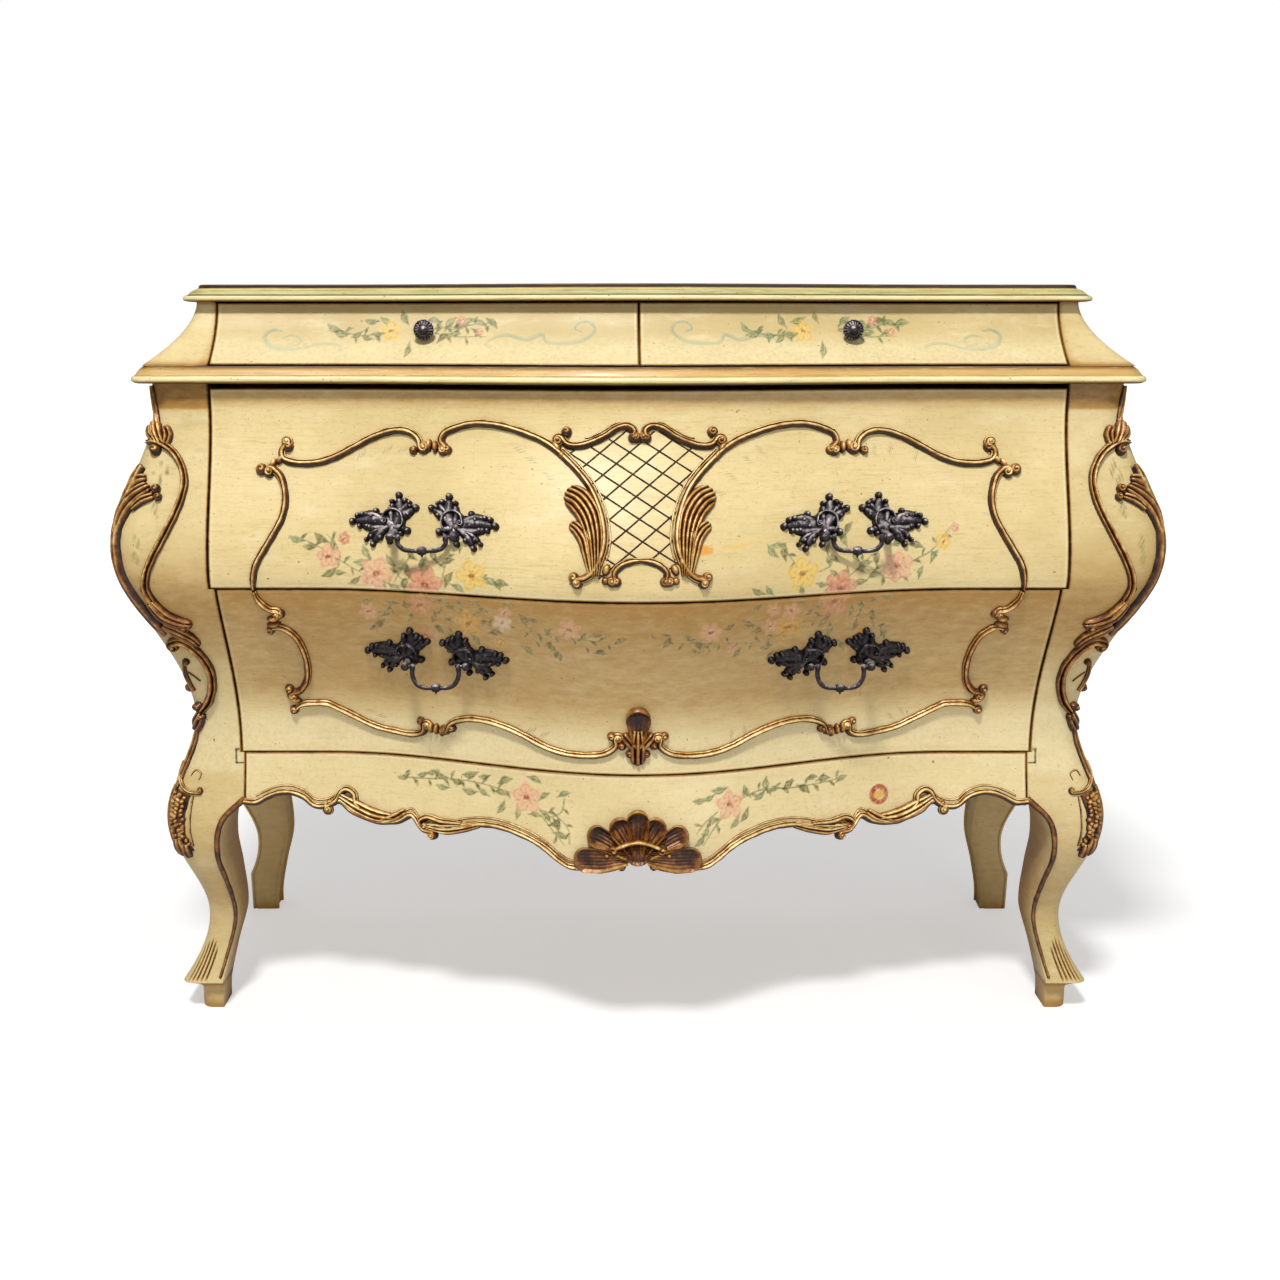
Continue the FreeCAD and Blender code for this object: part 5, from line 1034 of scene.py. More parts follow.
def rear_post(name, sign, node):
    """Upright post at the back; its leg tapers in depth and follows the front leg's outline."""
    rows, shade_and_dirt = [], []
    for z in np.concatenate((np.linspace(0, 290, 100), np.linspace(LEG_TOP, WAIST_FOOT, 130))):
        inner = leg_inner(z) if z < LEG_TOP else LOWER_INNER
        side = float(swelling(BACK, max(z, 58)))
        near = SIDE_REAR + float(np.interp(z, (0, 83, 177, LEG_TOP), (24.8, 19.8, 11.2, 0)))
        row = []
        for x, y, dx, dy in ((inner, near, 1, 1), (side, near, -1, 1), (side, BACK, -1, -1),
                             (inner, BACK, 1, -1)):
            bend = [(x + 4 * dx * (1 - math.sin(t)), y + 4 * dy * (1 - math.cos(t)))
                    for t in np.linspace(0, math.pi / 2, 5)]
            row += bend if dx == dy else bend[::-1]
        middle = [(inner + (side - inner) * t, near) for t in np.linspace(0.2, 0.8, 4)]
        row = row[:5] + middle + row[5:]
        rows.append([(sign * x, y, z) for x, y in row])
        # Painted shade: the whole rear post darker, as it stands in shade behind the case, and darker still
        # at the floor.
        shade_and_dirt.append([0.3 * math.exp(-z / 8) + 0.18] * len(row))
    board(name, np.array(rows), shade_and_dirt, (node,), 50)


def side_board(name, sign, low, high, node, insets=(1.5, 19.4)):
    """Swelling board of a side; low gives its lower edge at a depth, insets its two faces."""
    rows = []
    for y in np.linspace(SIDE_FRONT, SIDE_REAR, 60):
        zs = np.linspace(float(low(y)), high, 46)
        outer, inner = (np.column_stack((swelling(y, zs) - inset, np.full(46, y), zs)) for inset in insets)
        rows.append(np.vstack((outer, inner[::-1])) * (sign, 1, 1))
    rows = np.array(rows)
    y, z = rows[..., 1], rows[..., 2]
    # Painted shade at the front and rear edges, where the side meets the posts, and along its top edge under
    # the board above.
    shade_and_dirt = 0.6 * np.exp(-np.minimum(y - SIDE_FRONT, SIDE_REAR - y) / 3) + 0.5 * np.exp(-np.abs(high - z) / 4)
    board(name, rows, np.clip(shade_and_dirt, 0, 1), (node,), 50)


ARCH = ((0, 0), (0.12, 0.34), (0.3, 0.42), (0.5, 0.2), (0.7, 0.42), (0.88, 0.34), (1, 0))


def side_arch(y):
    """Lower edge of a side's apron: two shallow arches."""
    wide, tall = SIDE_REAR - SIDE_FRONT, LOWER_SEAM - LEG_TOP
    line = flowing([(SIDE_FRONT + wide * a, LEG_TOP + tall * b) for a, b in ARCH], 2.0)
    return np.interp(y, line[:, 0], line[:, 1])


SIDES = (("left", -1), ("right", 1))
for word, sign in SIDES:
    post(f"{word}_post_face", sign, f"front_{word}_post")
for word, sign in SIDES:
    rear_post(f"{word}_rear_post_face", sign, f"rear_{word}_post")
for word, sign in SIDES:
    side_board(f"{word}_side_face", sign, lambda y: LOWER_SEAM, WAIST_FOOT, f"{word}_side_panel")
    side_board(f"{word}_side_apron_face", sign, side_arch, LOWER_SEAM, f"{word}_side_apron")


# Moulded boards: stations of an edge are (rise, reach of the nose, tone), tones (red, green, blue, cover)

# Painted light in WAIST_EDGE: dark at its foot as painted shadow, pale on the nose as a painted highlight
# over cream, orange, brown and dark towards its top as painted shade below the small drawers.
WAIST_EDGE = (
    (0, 0.3, "dark"), (0.0, 0.74, "dark"), (0.08, 0.92, "brown"), (0.16, 1.0, "gold"), (0.3, 1.0, "pale"),
    (0.38, 0.96, "pale"), (0.42, 0.9, "gold"), (0.47, 0.78, "peach"), (0.52, 0.74, "apricot"),
    (0.62, 0.67, "apricot"), (0.74, 0.58, "apricot"), (0.82, 0.5, "peach"), (0.9, 0.4, "orange"),
    (0.96, 0.3, "brown"), (1, 0.26, "dark"), (1, -1.2, "dark"), (1, -1.8, "cream"))
# Painted light in TOP_EDGE: dark at its foot as painted shadow, pale on the nose as a painted highlight over
# cream.
TOP_EDGE = (
    (0, 0.2, "dark"), (0, 0.6, "dark"), (0.05, 0.94, "brown"), (0.12, 1, "gold"), (0.22, 1, "pale"),
    (0.3, 0.97, "pale"), (0.35, 0.86, "brown"), (0.38, 0.7, "dark"), (0.44, 0.64, "green"),
    (0.55, 0.52, "green"), (0.66, 0.34, "green"), (0.74, 0.12, "gold"), (0.78, 0.02, "brown"),
    (0.82, -0.04, "dark"), (0.92, -0.06, "dark"), (1, -0.16, "brown"), (1, -0.5, "dark"),
    (1, -1.2, "green"), (1, -2.4, "cream"), (1, -9, "cream"))
TONES = {"dark": (40, 24, 10, 0.9), "brown": (112, 80, 36, 0.5), "gold": (236, 210, 134, 0.3),
         "pale": (254, 244, 192, 0.5), "orange": (142, 100, 48, 0.2), "peach": (196, 150, 86, 0.1),
         "apricot": (218, 176, 104, 0.4), "green": (198, 192, 128, 0), "cream": (214, 192, 130, 0.2)}
BOARD_THICK, BOARD_CORNER = 20, 22


def moulding(name, half, line, bow, foot, nose, edge, node):
    """Board with a moulded edge on its front and both sides."""
    stations, tone = [], []
    for rise, out, colour in edge:
        offset = nose * out
        side = half + offset
        inner, near = side - BOARD_CORNER, line - offset
        plan = [(-side, BACK)] + [(-side, y) for y in np.linspace(BACK - 3, near + BOARD_CORNER + 1, 12)]
        for angle in np.linspace(0, math.pi / 2, 12):
            across, along = BOARD_CORNER * math.cos(angle), BOARD_CORNER * math.sin(angle)
            plan.append((-inner - across, near + BOARD_CORNER - along))
        for x in np.linspace(-inner, inner, 161)[1:-1]:
            plan.append((x, near - bow * float(share(x))))
        plan += [(-x, y) for x, y in reversed(plan[:25])]
        stations.append([(x, y, foot + BOARD_THICK * rise) for x, y in plan])
        tone += [linear(*TONES[colour][:3])[:3] + (TONES[colour][3],)] * len(plan)
    pile = Pile()
    pile.skin(np.array(stations), caps=False)
    many = len(plan)
    for level, start in ((0, 0), (1, (len(edge) - 1) * many)):
        for k in range(many // 2):
            face = list(dict.fromkeys(start + i for i in (k, k + 1, many - 2 - k, many - 1 - k)))
            pile.faces.append(face if level else face[::-1])
    piece(name, pile, glaze, "case", (node,), 30, {"paint": np.array(tone)})


moulding("waist_moulding", 578, -124, 52, WAIST_FOOT, 17, WAIST_EDGE, "waist_top")
moulding("top_moulding", 530, -69, UPPER_BOW, TOP_UNDER, 14.5, TOP_EDGE, "top_board")


def cheek(name, sign, node, corner=8):
    """End of the top tier, with its hollow side and its rounded corner."""
    rows, shade_and_dirt = [], []
    for z in np.linspace(WAIST_TOP, TOP_UNDER, 30):
        side, line = float(cove(z, 529, 583)), float(tier_line(z))
        row = [(UPPER_INNER, line + 2), (UPPER_INNER + 0.5, line)]
        row += [(x, line) for x in np.linspace(UPPER_INNER + 2, side - corner, 6)]
        for angle in np.linspace(0, math.pi / 2, 8)[1:]:
            row.append((side - corner + corner * math.sin(angle), line + corner * (1 - math.cos(angle))))
        row += [(side, y) for y in np.linspace(line + 20, BACK, 14)] + [(UPPER_INNER, BACK)]
        rows.append([(sign * x, y, z) for x, y in row])
        # Painted shade at the foot and head of the cheek, under the top board, and along its inner edge
        # beside the small drawer.
        near = 0.7 * math.exp(-(z - WAIST_TOP) / 3) + 0.7 * math.exp(-(TOP_UNDER - z) / 3)
        shade_and_dirt.append([min(1, near + 0.7 * math.exp(-(x - UPPER_INNER) / 1.5)) for x, y in row])
    board(name, np.array(rows), shade_and_dirt, (node,), 40)


for word, sign in SIDES:
    cheek(f"{word}_cheek_face", sign, f"upper_{word}_cheek")


# Gilt carving and lattice, given for the left half

class Carver:
    """Carves one side of a pair (-1 as given, 1 mirrored), with x and z counted from a middle."""

    def __init__(self, pile, side, x=0, z=0):
        self.pile, self.side, self.x, self.z = pile, side, x, z

    def at(self, points):
        """Places on a front, for places that are given for side -1."""
        return [(self.x - self.side * x, self.z + z) for x, z in points]

    def scroll(self, points, width, height, start=None, end=None, flip=1, profile=STRAND):
        curls = [curl and (curl[0], curl[1] * self.side) for curl in (start, end)]
        scroll(self.pile, self.at(points), width, height, *curls, flip * self.side, profile)

    def bead(self, x, z, radius, height, stretch=(1, 1), angle=0):
        bead(self.pile, *self.at([(x, z)])[0], radius, height, stretch=stretch, angle=angle * self.side)

    def frond(self, points, *shape, **more):
        frond(self.pile, self.at(points), *shape, **more)

    def line(self, points, width, height, profile=ROUND):
        strand(self.pile, flowing(self.at(points)), width, height, profile)

    def echo(self, points, gap, width=2.2, height=1.6):
        """Thin ridge beside a strand, at a distance from it."""
        path = flowing(self.at(points))
        path = path + sides_of(path) * gap * self.side
        strand(self.pile, path[3:-3], width, height, ROUND)

    def clasp(self, *places):
        """Three ribs side by side between two strands."""
        for x, z in places:
            self.bead(x, z, 3.7, 7.5, (1, 2))


FRAME = (9.5, 6.5)  # width and height of the strands that frame the long drawers
ARCH_EDGE = ((-97, 741), (-82, 728), (-68, 714), (-56, 699), (-47, 681), (-42, 664), (-40, 646), (-42, 632),
             (-47, 619))


def upper_frame(c):
    c.scroll([(-451, 577), (-451, 586), (-447, 605), (-436, 624), (-424, 644), (-416, 660), (-413, 678),
              (-415, 693), (-420, 706), (-429, 714)], *FRAME, None, (5, -1))
    c.bead(-442, 713, 7, 9)
    c.bead(-428, 720, 4.5, 7.5, (1.5, 0.8), -0.9)
    c.bead(-420, 724, 4.5, 7.5, (1.5, 0.8), -0.9)
    c.bead(-411, 739, 6.4, 8.5)
    c.scroll([(-411, 741), (-418, 735), (-417, 726), (-405, 721), (-377, 721), (-354, 728), (-331, 740),
              (-309, 751), (-286, 758), (-268, 757), (-256, 748), (-254, 739)], *FRAME, (4, -1), (5, -1))
    c.bead(-262, 736, 5.2, 8)
    c.clasp((-250, 740), (-243, 742), (-236, 740))
    c.scroll([(-224, 740), (-229, 746), (-226, 755), (-215, 761), (-194, 767), (-171, 767), (-149, 763),
              (-127, 756), (-112, 750), *ARCH_EDGE, (-54, 609), (-63, 603), (-70, 602)],
             *FRAME, (4, 1), (4, -1))
    c.bead(-221, 737, 5.2, 8)
    c.bead(-74, 604, 6, 8.5)
    c.echo(ARCH_EDGE, -6.6)


def cartouche(c):
    c.scroll([(-88, 752), (-82, 745), (-68, 744), (-54, 748), (-39, 755), (-25, 764), (-13, 766), (-6, 761),
              (-7, 755)], 9, 7, (5, -1), (3.5, -1))
    c.bead(-83, 759, 6.4, 9)
    c.bead(-8, 753, 5.6, 9)
    c.bead(-94, 742, 5, 7.5, (1.7, 0.8), 0.9)
    c.bead(-88, 733, 4.5, 7, (1.7, 0.8), 0.9)
    c.echo([(-70, 752), (-56, 754), (-40, 762), (-26, 770), (-14, 771)], 0, 2, 1.4)
    c.scroll([(-28, 602), (-29, 610), (-21, 618), (-10, 622), (2, 623)], 9, 5, (4, 1))
    c.bead(-38, 613, 5, 5.5, (0.9, 1.4), 0.4)
    c.bead(-39, 601, 4.5, 5)
    c.bead(-27, 600, 6, 5.5)


def acanthus(c):
    c.frond([(-50, 606), (-50, 630), (-52, 652), (-58, 671), (-70, 686), (-85, 693)],
            (5, 8, 11, 14, 15, 13), 9, 5, 0.16)
    c.frond([(-54, 606), (-58, 628), (-62, 644), (-70, 655), (-79, 661)], (4, 6, 8, 8, 6), 7, 3, 0.16)


def lower_frame(c):
    c.scroll([(-451, 574.5), (-449, 565), (-444, 557), (-435, 550), (-428, 549)], *FRAME, None, (4, 1))
    c.bead(-424, 545, 5.6, 8)
    c.bead(-433, 539, 4.5, 7.5, (2, 0.8), -0.15)
    c.bead(-434, 531, 4.5, 7.5, (2, 0.8), -0.15)
    c.bead(-439, 523, 5.2, 8)
    c.scroll([(-437, 526), (-428, 527), (-413, 516), (-405, 495), (-403, 473), (-407, 450), (-417, 437),
              (-426, 435)], *FRAME, None, (5, -1))
    c.bead(-429, 440, 6, 8.5)
    c.bead(-423, 425, 4.5, 7.5, (1.8, 0.8), 0.2)
    c.bead(-426, 411, 6, 8.5)
    c.scroll([(-424, 412), (-416, 418), (-398, 420), (-383, 419), (-371, 413), (-348, 401), (-324, 390),
              (-300, 385), (-275, 383), (-263, 388), (-262, 397)], *FRAME, None, (4, 1))
    c.bead(-266, 402, 5.2, 8)
    c.clasp((-253, 394), (-246, 393), (-239, 391))
    c.scroll([(-232, 392), (-227, 402), (-209, 410), (-185, 411), (-161, 406), (-137, 397), (-114, 386),
              (-91, 379), (-63, 377), (-38, 381), (-26, 391), (-27, 400)], *FRAME, (4, 1), (4, 1))
    c.bead(-226, 396, 5.5, 8)
    c.bead(-31, 403, 5.6, 8.5)


def fleuron(c):
    if c.side < 0:
        c.frond([(0, 396), (0, 410), (0, 425), (0, 442)], (6, 11, 14.5, 13), 10, 1, 0, scoop=0.6, fine=5)
        c.frond([(0, 412), (0, 390), (0, 366)], (6, 10.5, 9), 9.5, 3, 0.1)
    c.frond([(-4, 388), (-11, 398), (-19, 407)], (5, 7, 6), 9, 2, 0.15)
    c.bead(-19, 391, 5.6, 8.5)
    c.bead(-10, 381, 5, 8)


def inside_cartouche(x, z):
    """Whether a place lies in the field that strands enclose."""
    edge = np.array([(-a, b) for a, b in ARCH_EDGE] + [(54, 608)])
    half = np.interp(z, edge[::-1, 1], edge[::-1, 0]) - 1
    roof = np.interp(abs(x), (0, 13, 25, 39, 54, 68, 90), (758, 762, 760, 750, 744, 741, 741))
    floor = np.interp(abs(x), (0, 10, 21, 27, 31, 45), (626, 624, 619, 610, 604, 603))
    return abs(x) < half and floor < z < roof


def lattice(c):
    """Thin lines of one lean in the cartouche; both families lean unevenly, as drawn by hand."""
    rise, spacing = (0.81, 26.4) if c.side < 0 else (-0.61, 21.5)
    for k in range(-14, 15):
        run = [(x, 714 + rise * (x + 8) + k * spacing) for x in np.arange(-96, 96.1, 1.2)]
        part = [place for place in run if inside_cartouche(*place)]
        if len(part) > 6:
            strand(c.pile, np.array(part), 1.9, 0.5, FLAT)


def shell(c):
    """Half of the shell: scooped lobes beside a fluted drop, which goes with one of the halves."""
    if c.side < 0:
        c.frond([(0, 262), (0, 285), (0, 315)], (6, 12, 14), 13, 1, 0, scoop=0.6, fine=5)
    c.frond([(-5, 264), (-15, 284), (-28, 304)], (5, 12, 14), 12.5, 1, 0, scoop=0.6, fine=6)
    c.frond([(-10, 262), (-32, 276), (-59, 289)], (5, 11, 14), 12, 1, 0, scoop=0.6, fine=6)
    c.frond([(-12, 260), (-40, 257), (-76, 256)], (7, 14, 13), 12, 1, 0, scoop=0.4, fine=7)
    c.line([(-16, 250), (-34, 245), (-56, 243), (-72, 246)], 4.5, 11)
    c.bead(-28, 268, 7.5, 15)
    c.bead(-36, 262, 4, 12)
    c.bead(-19, 248, 5, 9)
    if c.side > 0:
        c.frond([(0, 272), (0, 262), (0, 250)], (10, 15, 14), 13, 1, 0.05, scoop=0.45, fine=7)
        c.line([(25, 271), (12, 276), (0, 278), (-12, 276), (-25, 271)], 7.5, 15)


def apron_edge(c):
    line = c.at([(x, z) for x, z in APRON if x < -60])
    line[0] = (492.5 * c.side, 291)
    strand(c.pile, flowing([(x, z + 3.2) for x, z in line]), 8.5, 6, STRAND, c.side)
    strand(c.pile, flowing([(x, z + 11) for x, z in line[1:]]), 2.6, 1.6, ROUND)
    c.scroll([(-388, 288), (-376, 296), (-370, 306), (-362, 309), (-353, 303), (-352, 294), (-340, 283)],
             9, 8, (4, -1))
    c.bead(-384, 292, 5.2, 9)
    c.frond([(-372, 300), (-350, 288), (-326, 279), (-302, 277)], (5, 9, 9, 6), 9, 3, 0.16)
    c.frond([(-318, 273), (-300, 279), (-286, 288)], (4, 6, 5), 8, 2, 0.16)
    c.scroll([(-252, 266), (-264, 268), (-268, 277), (-258, 283), (-240, 280), (-214, 281)], 8, 8, (4, 1))
    c.bead(-261, 272, 5.2, 9)
    c.frond([(-258, 272), (-236, 271), (-212, 276), (-190, 283)], (4, 7, 6, 4), 8, 3, 0.16)


def leg_edge(c):
    """Strand down the inner edge of a leg, from the end of the apron to the toe."""
    line = [(x + 3.6, z) for x, z in reversed(LEG_INSIDE) if z > TOE_HEIGHT]
    line[0] = (492.5, 297.5)
    line.append((541.5, 46))
    curve = flowing([(c.side * x, z) for x, z in line])
    width = np.interp(np.linspace(0, 1, len(curve)), (0, 0.6, 1), (8, 6, 4))
    strand(c.pile, curve, width, 3.6, DULL, c.side)


def post_carving(c):
    """Long strands and leaves down a corner post."""
    c.scroll([(-573, 809), (-571, 794), (-568, 778), (-564, 764)], 8, 4, profile=DOUBLE)
    c.frond([(-561, 742), (-566, 756), (-568, 770)], (5, 8, 6), 9, 3, 0.2)
    c.frond([(-555, 741), (-552, 752), (-556, 764)], (4, 6, 5), 8, 2, 0.2)
    c.frond([(-566, 744), (-575, 752), (-578, 764)], (4, 6, 4), 7, 2, 0.2)
    c.bead(-567, 735, 7, 9)
    c.scroll([(-578, 742), (-568, 745), (-557, 741), (-544, 730), (-535, 714), (-532, 699), (-534, 684),
              (-541, 664), (-555, 636), (-568, 612), (-576, 592), (-577, 574), (-569, 556), (-556, 540),
              (-541, 531)], 10, 7, None, (4, 1), profile=DOUBLE)
    c.scroll([(-583, 716), (-590, 705), (-600, 684), (-608, 662), (-613, 640), (-613, 618), (-609, 596),
              (-600, 572), (-588, 549), (-576, 530), (-566, 517)], 14, 6.5, flip=-1, profile=DOUBLE)
    c.line([(-597, 700), (-607, 680), (-615, 660), (-619.5, 640), (-619.5, 616), (-615, 592)], 5, 4)
    c.frond([(-612, 640), (-604, 664), (-590, 682), (-572, 695)], (4, 8, 9, 7), 9, 3, 0.2)
    c.frond([(-598, 690), (-588, 700), (-576, 704)], (4, 6, 5), 7, 2, 0.2)
    c.frond([(-592, 668), (-580, 678), (-566, 684)], (3, 5, 5), 7, 2, 0.2)
    c.bead(-565, 691, 6, 10)
    c.bead(-562, 682, 5, 9)
    c.bead(-580, 576, 5, 5)
    c.frond([(-575, 560), (-562, 542), (-545, 533), (-531, 530)], (6, 9, 8, 6), 9, 3, 0.2)
    c.frond([(-566, 530), (-552, 521), (-538, 512), (-529, 500)], (5, 8, 7, 5), 8, 3, 0.2)
    c.scroll([(-562, 505), (-552, 508), (-539, 499), (-528, 482), (-523, 462), (-525, 441), (-532, 422),
              (-541, 408)], 12, 8, (4, -1), profile=DOUBLE)
    c.scroll([(-553, 478), (-556, 462), (-553, 446), (-548, 436)], 5, 5, (3, 1))
    c.line([(-552, 462), (-546, 458), (-538, 450)], 2, 2)
    c.bead(-555, 439, 6, 7)
    c.bead(-546, 414, 6.4, 10)
    c.bead(-543, 400, 5.2, 9)
    c.frond([(-543, 406), (-549, 392), (-556, 378)], (6, 8, 6), 8, 3, 0.2)
    c.scroll([(-552, 382), (-558, 362), (-566, 342), (-573, 326), (-580, 308)], 8, 4, profile=DOUBLE)


def knee_carving(c):
    """Mottled rocaille on the outer side of a knee, between small scrolls."""
    c.scroll([(-573, 336), (-576, 322), (-571, 311), (-561, 305), (-549, 304)], 5, 4.5, None, (3, -1))
    c.scroll([(-560, 325), (-554, 332), (-547, 328), (-550, 320)], 2.2, 1.6, profile=ROUND)
    c.line([(-570, 304), (-577, 280), (-578, 256), (-572, 236), (-567, 226)], 22, 1.4, DULL)
    c.scroll([(-582, 308), (-589, 288), (-591, 266), (-587, 246), (-580, 230)], 7, 4, profile=DOUBLE)
    rng = random.Random(4)
    for index in range(38):
        z = 301 - index * 1.75
        x = -569 - 5 * math.sin((304 - z) * 0.05) + (-10, -3.5, 3)[index % 3] + rng.uniform(-2, 2)
        radius, height = rng.uniform(2.3, 3.6), rng.uniform(4, 5.6)
        stretch, angle = (1, rng.uniform(1, 1.7)), rng.uniform(-1, 1)
        bead(c.pile, *c.at([(x, z)])[0], radius, height, stretch=stretch, angle=angle)
    c.line([(-557, 300), (-560, 280), (-561, 258), (-558, 238)], 2.4, 2.6)
    c.frond([(-578, 246), (-576, 234), (-571, 222)], (6, 9.5, 8), 7, 3, 0.2)
    c.frond([(-568, 240), (-567, 230), (-563, 220)], (4, 6, 5), 6, 2, 0.2)


UPPER, LOWER = "upper_long_drawer", "lower_long_drawer"
for name, makes, material, body, slot, nodes in (
    ("upper_frame", (upper_frame,), gilt_edge, UPPER, "gilt_moulding", ("upper_frame_moulding",)),
    ("cartouche_carving", (cartouche,), gilt, UPPER, "gilt_carving", ("cartouche",)),
    ("acanthus_carving", (acanthus,), gilt, UPPER, "gilt_carving", ("acanthus_leaves",)),
    ("lower_frame", (lower_frame,), gilt_edge, LOWER, "gilt_moulding", ("lower_frame_moulding",)),
    ("fleuron_carving", (fleuron,), gilt, LOWER, "gilt_carving", ("fleuron",)),
    ("lattice_lines", (lattice,), umber, UPPER, "gilt_moulding", ()),
    ("shell_carving", (shell,), gilt, "case", "gilt_carving", ("apron_shell",)),
    ("apron_edging", (apron_edge,), gilt_edge, "case", "gilt_moulding", ("apron_moulding",)),
    ("leg_edging", (leg_edge,), gilt_edge, "case", "gilt_moulding",
     ("left_leg_moulding", "right_leg_moulding")),
    ("post_carvings", (post_carving, knee_carving), gilt, "case", "gilt_carving",
     ("left_post_carving", "right_post_carving")),
):
    heap = Pile()
    for make in makes:
        for side in (-1, 1):
            make(Carver(heap, side))
    piece(name, heap, material, body, nodes)


# Handles and knobs

def tube(pile, path, radii, sides=12, shade=0.7):
    """Round rod through places in space."""
    path = np.asarray(path, float)
    way = np.gradient(path, axis=0)
    way /= np.linalg.norm(way, axis=1)[:, None]
    rows = []
    aside = np.cross(way[0], (0.0, 1.0, 0.02))
    turn = np.linspace(0, 2 * math.pi, sides, endpoint=False)[:, None]
    for place, along, radius in zip(path, way, np.broadcast_to(radii, len(path))):
        aside = aside - along * aside.dot(along)
        aside /= np.linalg.norm(aside)
        rows.append(place + radius * (np.cos(turn) * aside + np.sin(turn) * np.cross(along, aside)))
    pile.skin(np.array(rows), np.full((len(path), sides), shade))


# Leaves of a plate: (points, half widths, ribs), and its knobs: (x, z, radius), from its middle
PLATE_FRONDS = (
    (((-16, -5), (4, 2), (20, 2), (34, 0)), (7, 9, 7, 5), 1), (((-4, -5), (10, -7), (26, -4)),
                                                               (4, 5, 4), 1),
    (((2, 4), (12, 8), (27, 7)), (4, 5, 4), 1), (((-14, -4), (-19, 10), (-18, 28)), (7, 8, 5), 1),
    (((-10, 0), (-9, 12), (-11, 22)), (4, 5, 3.6), 1), (((-16, 2), (-27, 10), (-37, 16)), (5, 6.5, 4.4), 1),
    (((-20, 12), (-27, 18), (-30, 22)), (3, 4.4, 3.6), 1), (((-6, -4), (4, -12), (11, -23)),
                                                            (4.4, 6, 4.4), 1),
    (((-2, -6), (12, -12), (19, -19)), (3, 4, 3), 1), (((-16, -4), (-22, -6), (-28, -8)), (5, 5.4, 4.6), 1),
    (((-12, -4), (-10, -12), (-8, -19)), (4, 4.6, 3.8), 1),
)
PLATE_BALLS = (
    (37, 0, 4.6), (31, 6.5, 4), (25, 8, 3.8), (9, 12, 4.4), (14, 6, 3.4), (28, -5, 3.6), (19, -5, 3.4),
    (-18, 30, 4.8), (-10, 23, 3.6), (-26, 24, 4), (-31, 22, 3.4), (-9, 15, 3.6), (-38.5, 17, 4.6),
    (-30, 9, 3.6), (-32, 18, 3.4), (-29, -8.5, 4.8), (-22, -12, 3.4), (12, -25, 4), (3, -17, 3.8),
    (14, -16, 3.6), (20, -20, 3.2), (-8, -21, 4.2), (-2, 4, 3.4), (8, -1, 3.2),
)
# Of a handle: its pin below the middle and before the front; plates, bosses and bail from the middle
PIN_FALL, PIN_OUT, PLATE_OUT, BOSS_OUT, BAIL_HALF = 12, 21, 48, 36, 31 - 0.6 - 3.2


def plate(c):
    """One leafy plate of a handle, with its knobbed tips and the scroll round its boss."""
    for points, widths, ribs in PLATE_FRONDS:
        c.frond(points, widths, 5.5, ribs, 0.2)
    for x, z, radius in PLATE_BALLS:
        c.bead(x, z, radius * 0.94, 6.8)
    c.scroll([(-20, -9), (-25, 0), (-22, 10), (-12, 14), (-3, 10),
              (0, 2)], 4.6, 8.5, None, (3, 1), -1, ROUND)


def handle(name, x, z, plates, drop):
    """A pair of plates on the drawer, with bosses, and the bail that swings between them.

    A plate is given as the right one of its pair, so that the sides of its carving are swapped.
    """
    pin_z = z - PIN_FALL
    pin_y = float(lower_ground(x, pin_z)) - PIN_OUT
    for s in (-1, 1):
        plate(Carver(plates, -s, x + s * PLATE_OUT, z))
        boss = x + s * BOSS_OUT
        foot = float(lower_ground(boss, pin_z))
        depths = (foot + 1, foot - 4, foot - 8, pin_y + 4, pin_y, pin_y - 4, pin_y - 5)
        tube(plates, [(boss, y, pin_z) for y in depths], (7, 6.2, 4.6, 4.8, 5.2, 4.4, 2))
    rod = Pile()
    run = [(x + BAIL_HALF - inset, pin_z - fall)
           for inset, fall in ((0, 1), (0, drop * 0.45), (5, drop * 0.84), (14, drop))]
    line = flowing(run + [(x, pin_z - drop)], 1.5)
    line = np.vstack((line, np.column_stack((2 * x - line[::-1, 0], line[::-1, 1]))[1:]))
    thick = np.interp(np.abs(line[:, 0] - x), (0, 8, 20, BAIL_HALF), (3.4, 2.5, 2.9, 2.8))
    tube(rod, [(a, pin_y, b) for a, b in line], thick)
    for s in (-1, 1):
        tube(rod, [(x + s * (BAIL_HALF + out), pin_y, pin_z) for out in (-2, 2, 12)], (2.4, 2.1, 2.0))
        tube(rod, [(x + s * BAIL_HALF, pin_y, pin_z + up) for up in (3, 0, -4)], (2.0, 3.4, 3.2))
    knop = np.linspace(-5.5, 5.5, 13)
    tube(rod, [(x + k, pin_y, pin_z - drop) for k in knop], 2.2 + 3.3 * np.sqrt(1 - (knop / 5.7) ** 2))
    way = np.linspace(0, 1, 7)
    tube(rod, [(x, pin_y, pin_z - drop - 4 - 4 * t) for t in way], 2.2 - 1.6 * way)
    piece(name + "_rod", rod, bronze, name, (name,))


for tier, off, height, drop in (("upper", 248, 655, 15.5), ("lower", 240, 496, 26)):
    heap = Pile()
    for word, sign in SIDES:
        handle(f"{tier}_{word}_bail", sign * off, height, heap, drop)
    piece(f"{tier}_plates", heap, bronze, f"{tier}_long_drawer", (f"{tier}_handle_plates",))


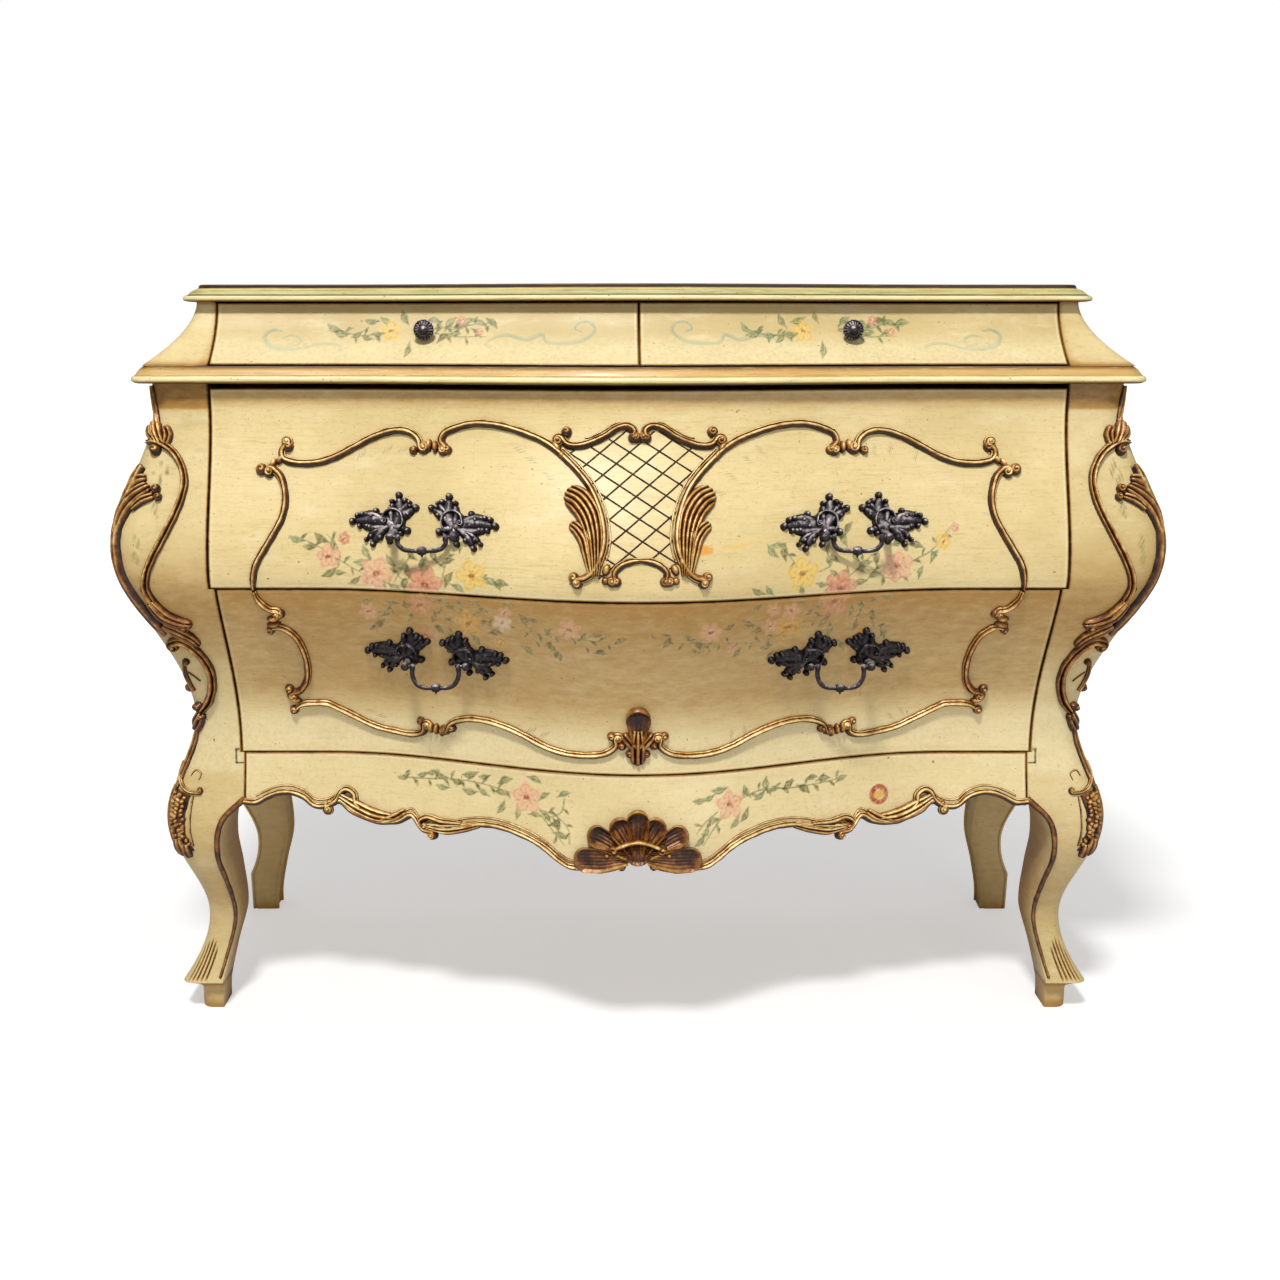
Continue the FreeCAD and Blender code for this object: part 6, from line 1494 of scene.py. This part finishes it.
# Turned outline of a knob: (radius, distance behind the drawer's front)
KNOB = ((4.6, 4), (5.4, -1), (5.2, -6), (4.8, -9), (7.5, -10.5), (11, -12.5), (12.4, -15), (12.4, -17),
        (11.6, -18.2), (11, -17.6), (8.8, -18.4), (7.9, -20.2), (6.4, -21.5), (5.4, -21), (4.6, -22.6),
        (2.6, -24.2), (0.8, -24.8))
KNOB_OUT, KNOB_HEIGHT = 251.6, 873


def knob(name, sign, body):
    """Turned knob, ribbed round its rim and its cap."""
    x, z = sign * KNOB_OUT, KNOB_HEIGHT
    ground = float(upper_ground(x, z))
    turn = np.linspace(0, 2 * math.pi, 72, endpoint=False)
    rows, shades = [], []
    for radius, along in KNOB:
        rim = radius > 10.5
        ribs = 0.45 * np.cos(turn * 18) if rim else 0.25 * np.cos(turn * 12) if 5 < radius < 9 else 0
        r = radius - 0.45 * rim + ribs
        depth = np.full(72, ground + along)
        rows.append(np.column_stack((x + r * np.cos(turn), depth, z + r * np.sin(turn))))
        shades.append(np.full(72, 0.75) + 0.3 * np.cos(turn * 18) * (radius > 5))
    pile = Pile()
    pile.skin(np.array(rows), np.clip(np.array(shades), 0, 1))
    tube(pile, [(x, ground + 2, z), (x, ground - 1.5, z), (x, ground - 3, z)], (9, 8.4, 5))
    piece(f"{name}_turned", pile, bronze, body, (name,), 45)


for word, sign in SIDES:
    knob(f"{word}_knob", sign, f"{word}_small_drawer")


# Finish of the parts that stay as they are in the frame

for name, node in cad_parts.items():
    if not node.hide_render:
        node.data.materials.clear()
        node.data.materials.append(wood_deep if "side" in name else wood_across)


# Room: floor, light and camera

WHITE = (1, 1, 1, 1)


def stage_floor():
    """Pale floor that keeps the object's shadow and fades into the white room for the camera alone."""
    mesh = bpy.data.meshes.new("floor")
    mesh.from_pydata([(-30, -30, 0), (30, -30, 0), (30, 30, 0), (-30, 30, 0)], [], [(0, 1, 2, 3)])
    item = bpy.data.objects.new("floor", mesh)
    bpy.context.scene.collection.objects.link(item)
    n = Nodes("floor")
    tone = n.mix(n.ramp(n.noise(2.0, 3), 0.3, 0.7), linear(226, 226, 226), linear(232, 232, 232))
    mesh.materials.append(n.finish(tone, 0.9))
    far = n.node("ShaderNodeVectorMath", {0: n.place}, operation="LENGTH").outputs["Value"]
    seen = n.node("ShaderNodeLightPath").outputs["Is Camera Ray"]
    strength = n.math("MULTIPLY", seen, n.ramp(far, 0.7, 2.6, 0.42, 1.0))
    glow = n.node("ShaderNodeEmission", {"Color": WHITE, "Strength": strength})
    total = n.node("ShaderNodeAddShader", {0: n.shader.outputs[0], 1: glow.outputs[0]})
    n.fill(n.tree.nodes["Material Output"].inputs["Surface"], total.outputs[0])


def white_room(light=0.24):
    """White world: a weak light for the object, plain white for the camera."""
    world = bpy.data.worlds.new("world")
    bpy.context.scene.world = world
    world.use_nodes = True
    nodes, link = world.node_tree.nodes, world.node_tree.links.new
    lit, shown = nodes["Background"], nodes.new("ShaderNodeBackground")
    for ground, strength in ((lit, light), (shown, 1.0)):
        ground.inputs["Color"].default_value = WHITE
        ground.inputs["Strength"].default_value = strength
    rays, either = nodes.new("ShaderNodeLightPath"), nodes.new("ShaderNodeMath")
    either.operation = "MAXIMUM"
    link(rays.outputs["Is Camera Ray"], either.inputs[0])
    link(rays.outputs["Is Transmission Ray"], either.inputs[1])
    blend = nodes.new("ShaderNodeMixShader")
    for index, out in enumerate((either.outputs[0], lit.outputs[0], shown.outputs[0])):
        link(out, blend.inputs[index])
    link(blend.outputs[0], nodes["World Output"].inputs["Surface"])


def lamp(name, place, target, size, power):
    data = bpy.data.lights.new(name, "AREA")
    data.shape = "RECTANGLE"
    data.size, data.size_y = size
    data.energy = power
    item = bpy.data.objects.new(name, data)
    bpy.context.scene.collection.objects.link(item)
    item.location = place
    item.rotation_euler = (Vector(target) - Vector(place)).to_track_quat("-Z", "Y").to_euler()


stage_floor()
white_room()
lamp("key", (-0.45, -2.2, 3.85), (0, 0, 0.45), (0.6, 0.45), 122)
lamp("fill", (1.4, -3.4, 1.3), (0, 0, 0.5), (2.2, 2.0), 15)
lamp("top", (0, 0.2, 3.4), (0, 0, 0.5), (2.5, 2.0), 8)

camera = bpy.data.cameras.new("camera")
camera.lens = 39.33
camera.sensor_width = 36
camera.shift_x = 0.0312
view = bpy.data.objects.new("camera", camera)
view.location = (-0.045, -1.788, 0.873)
view.rotation_euler = (math.radians(77.5), 0, 0)
bpy.context.scene.collection.objects.link(view)
bpy.context.scene.camera = view
bpy.context.scene.view_settings.view_transform = "Standard"
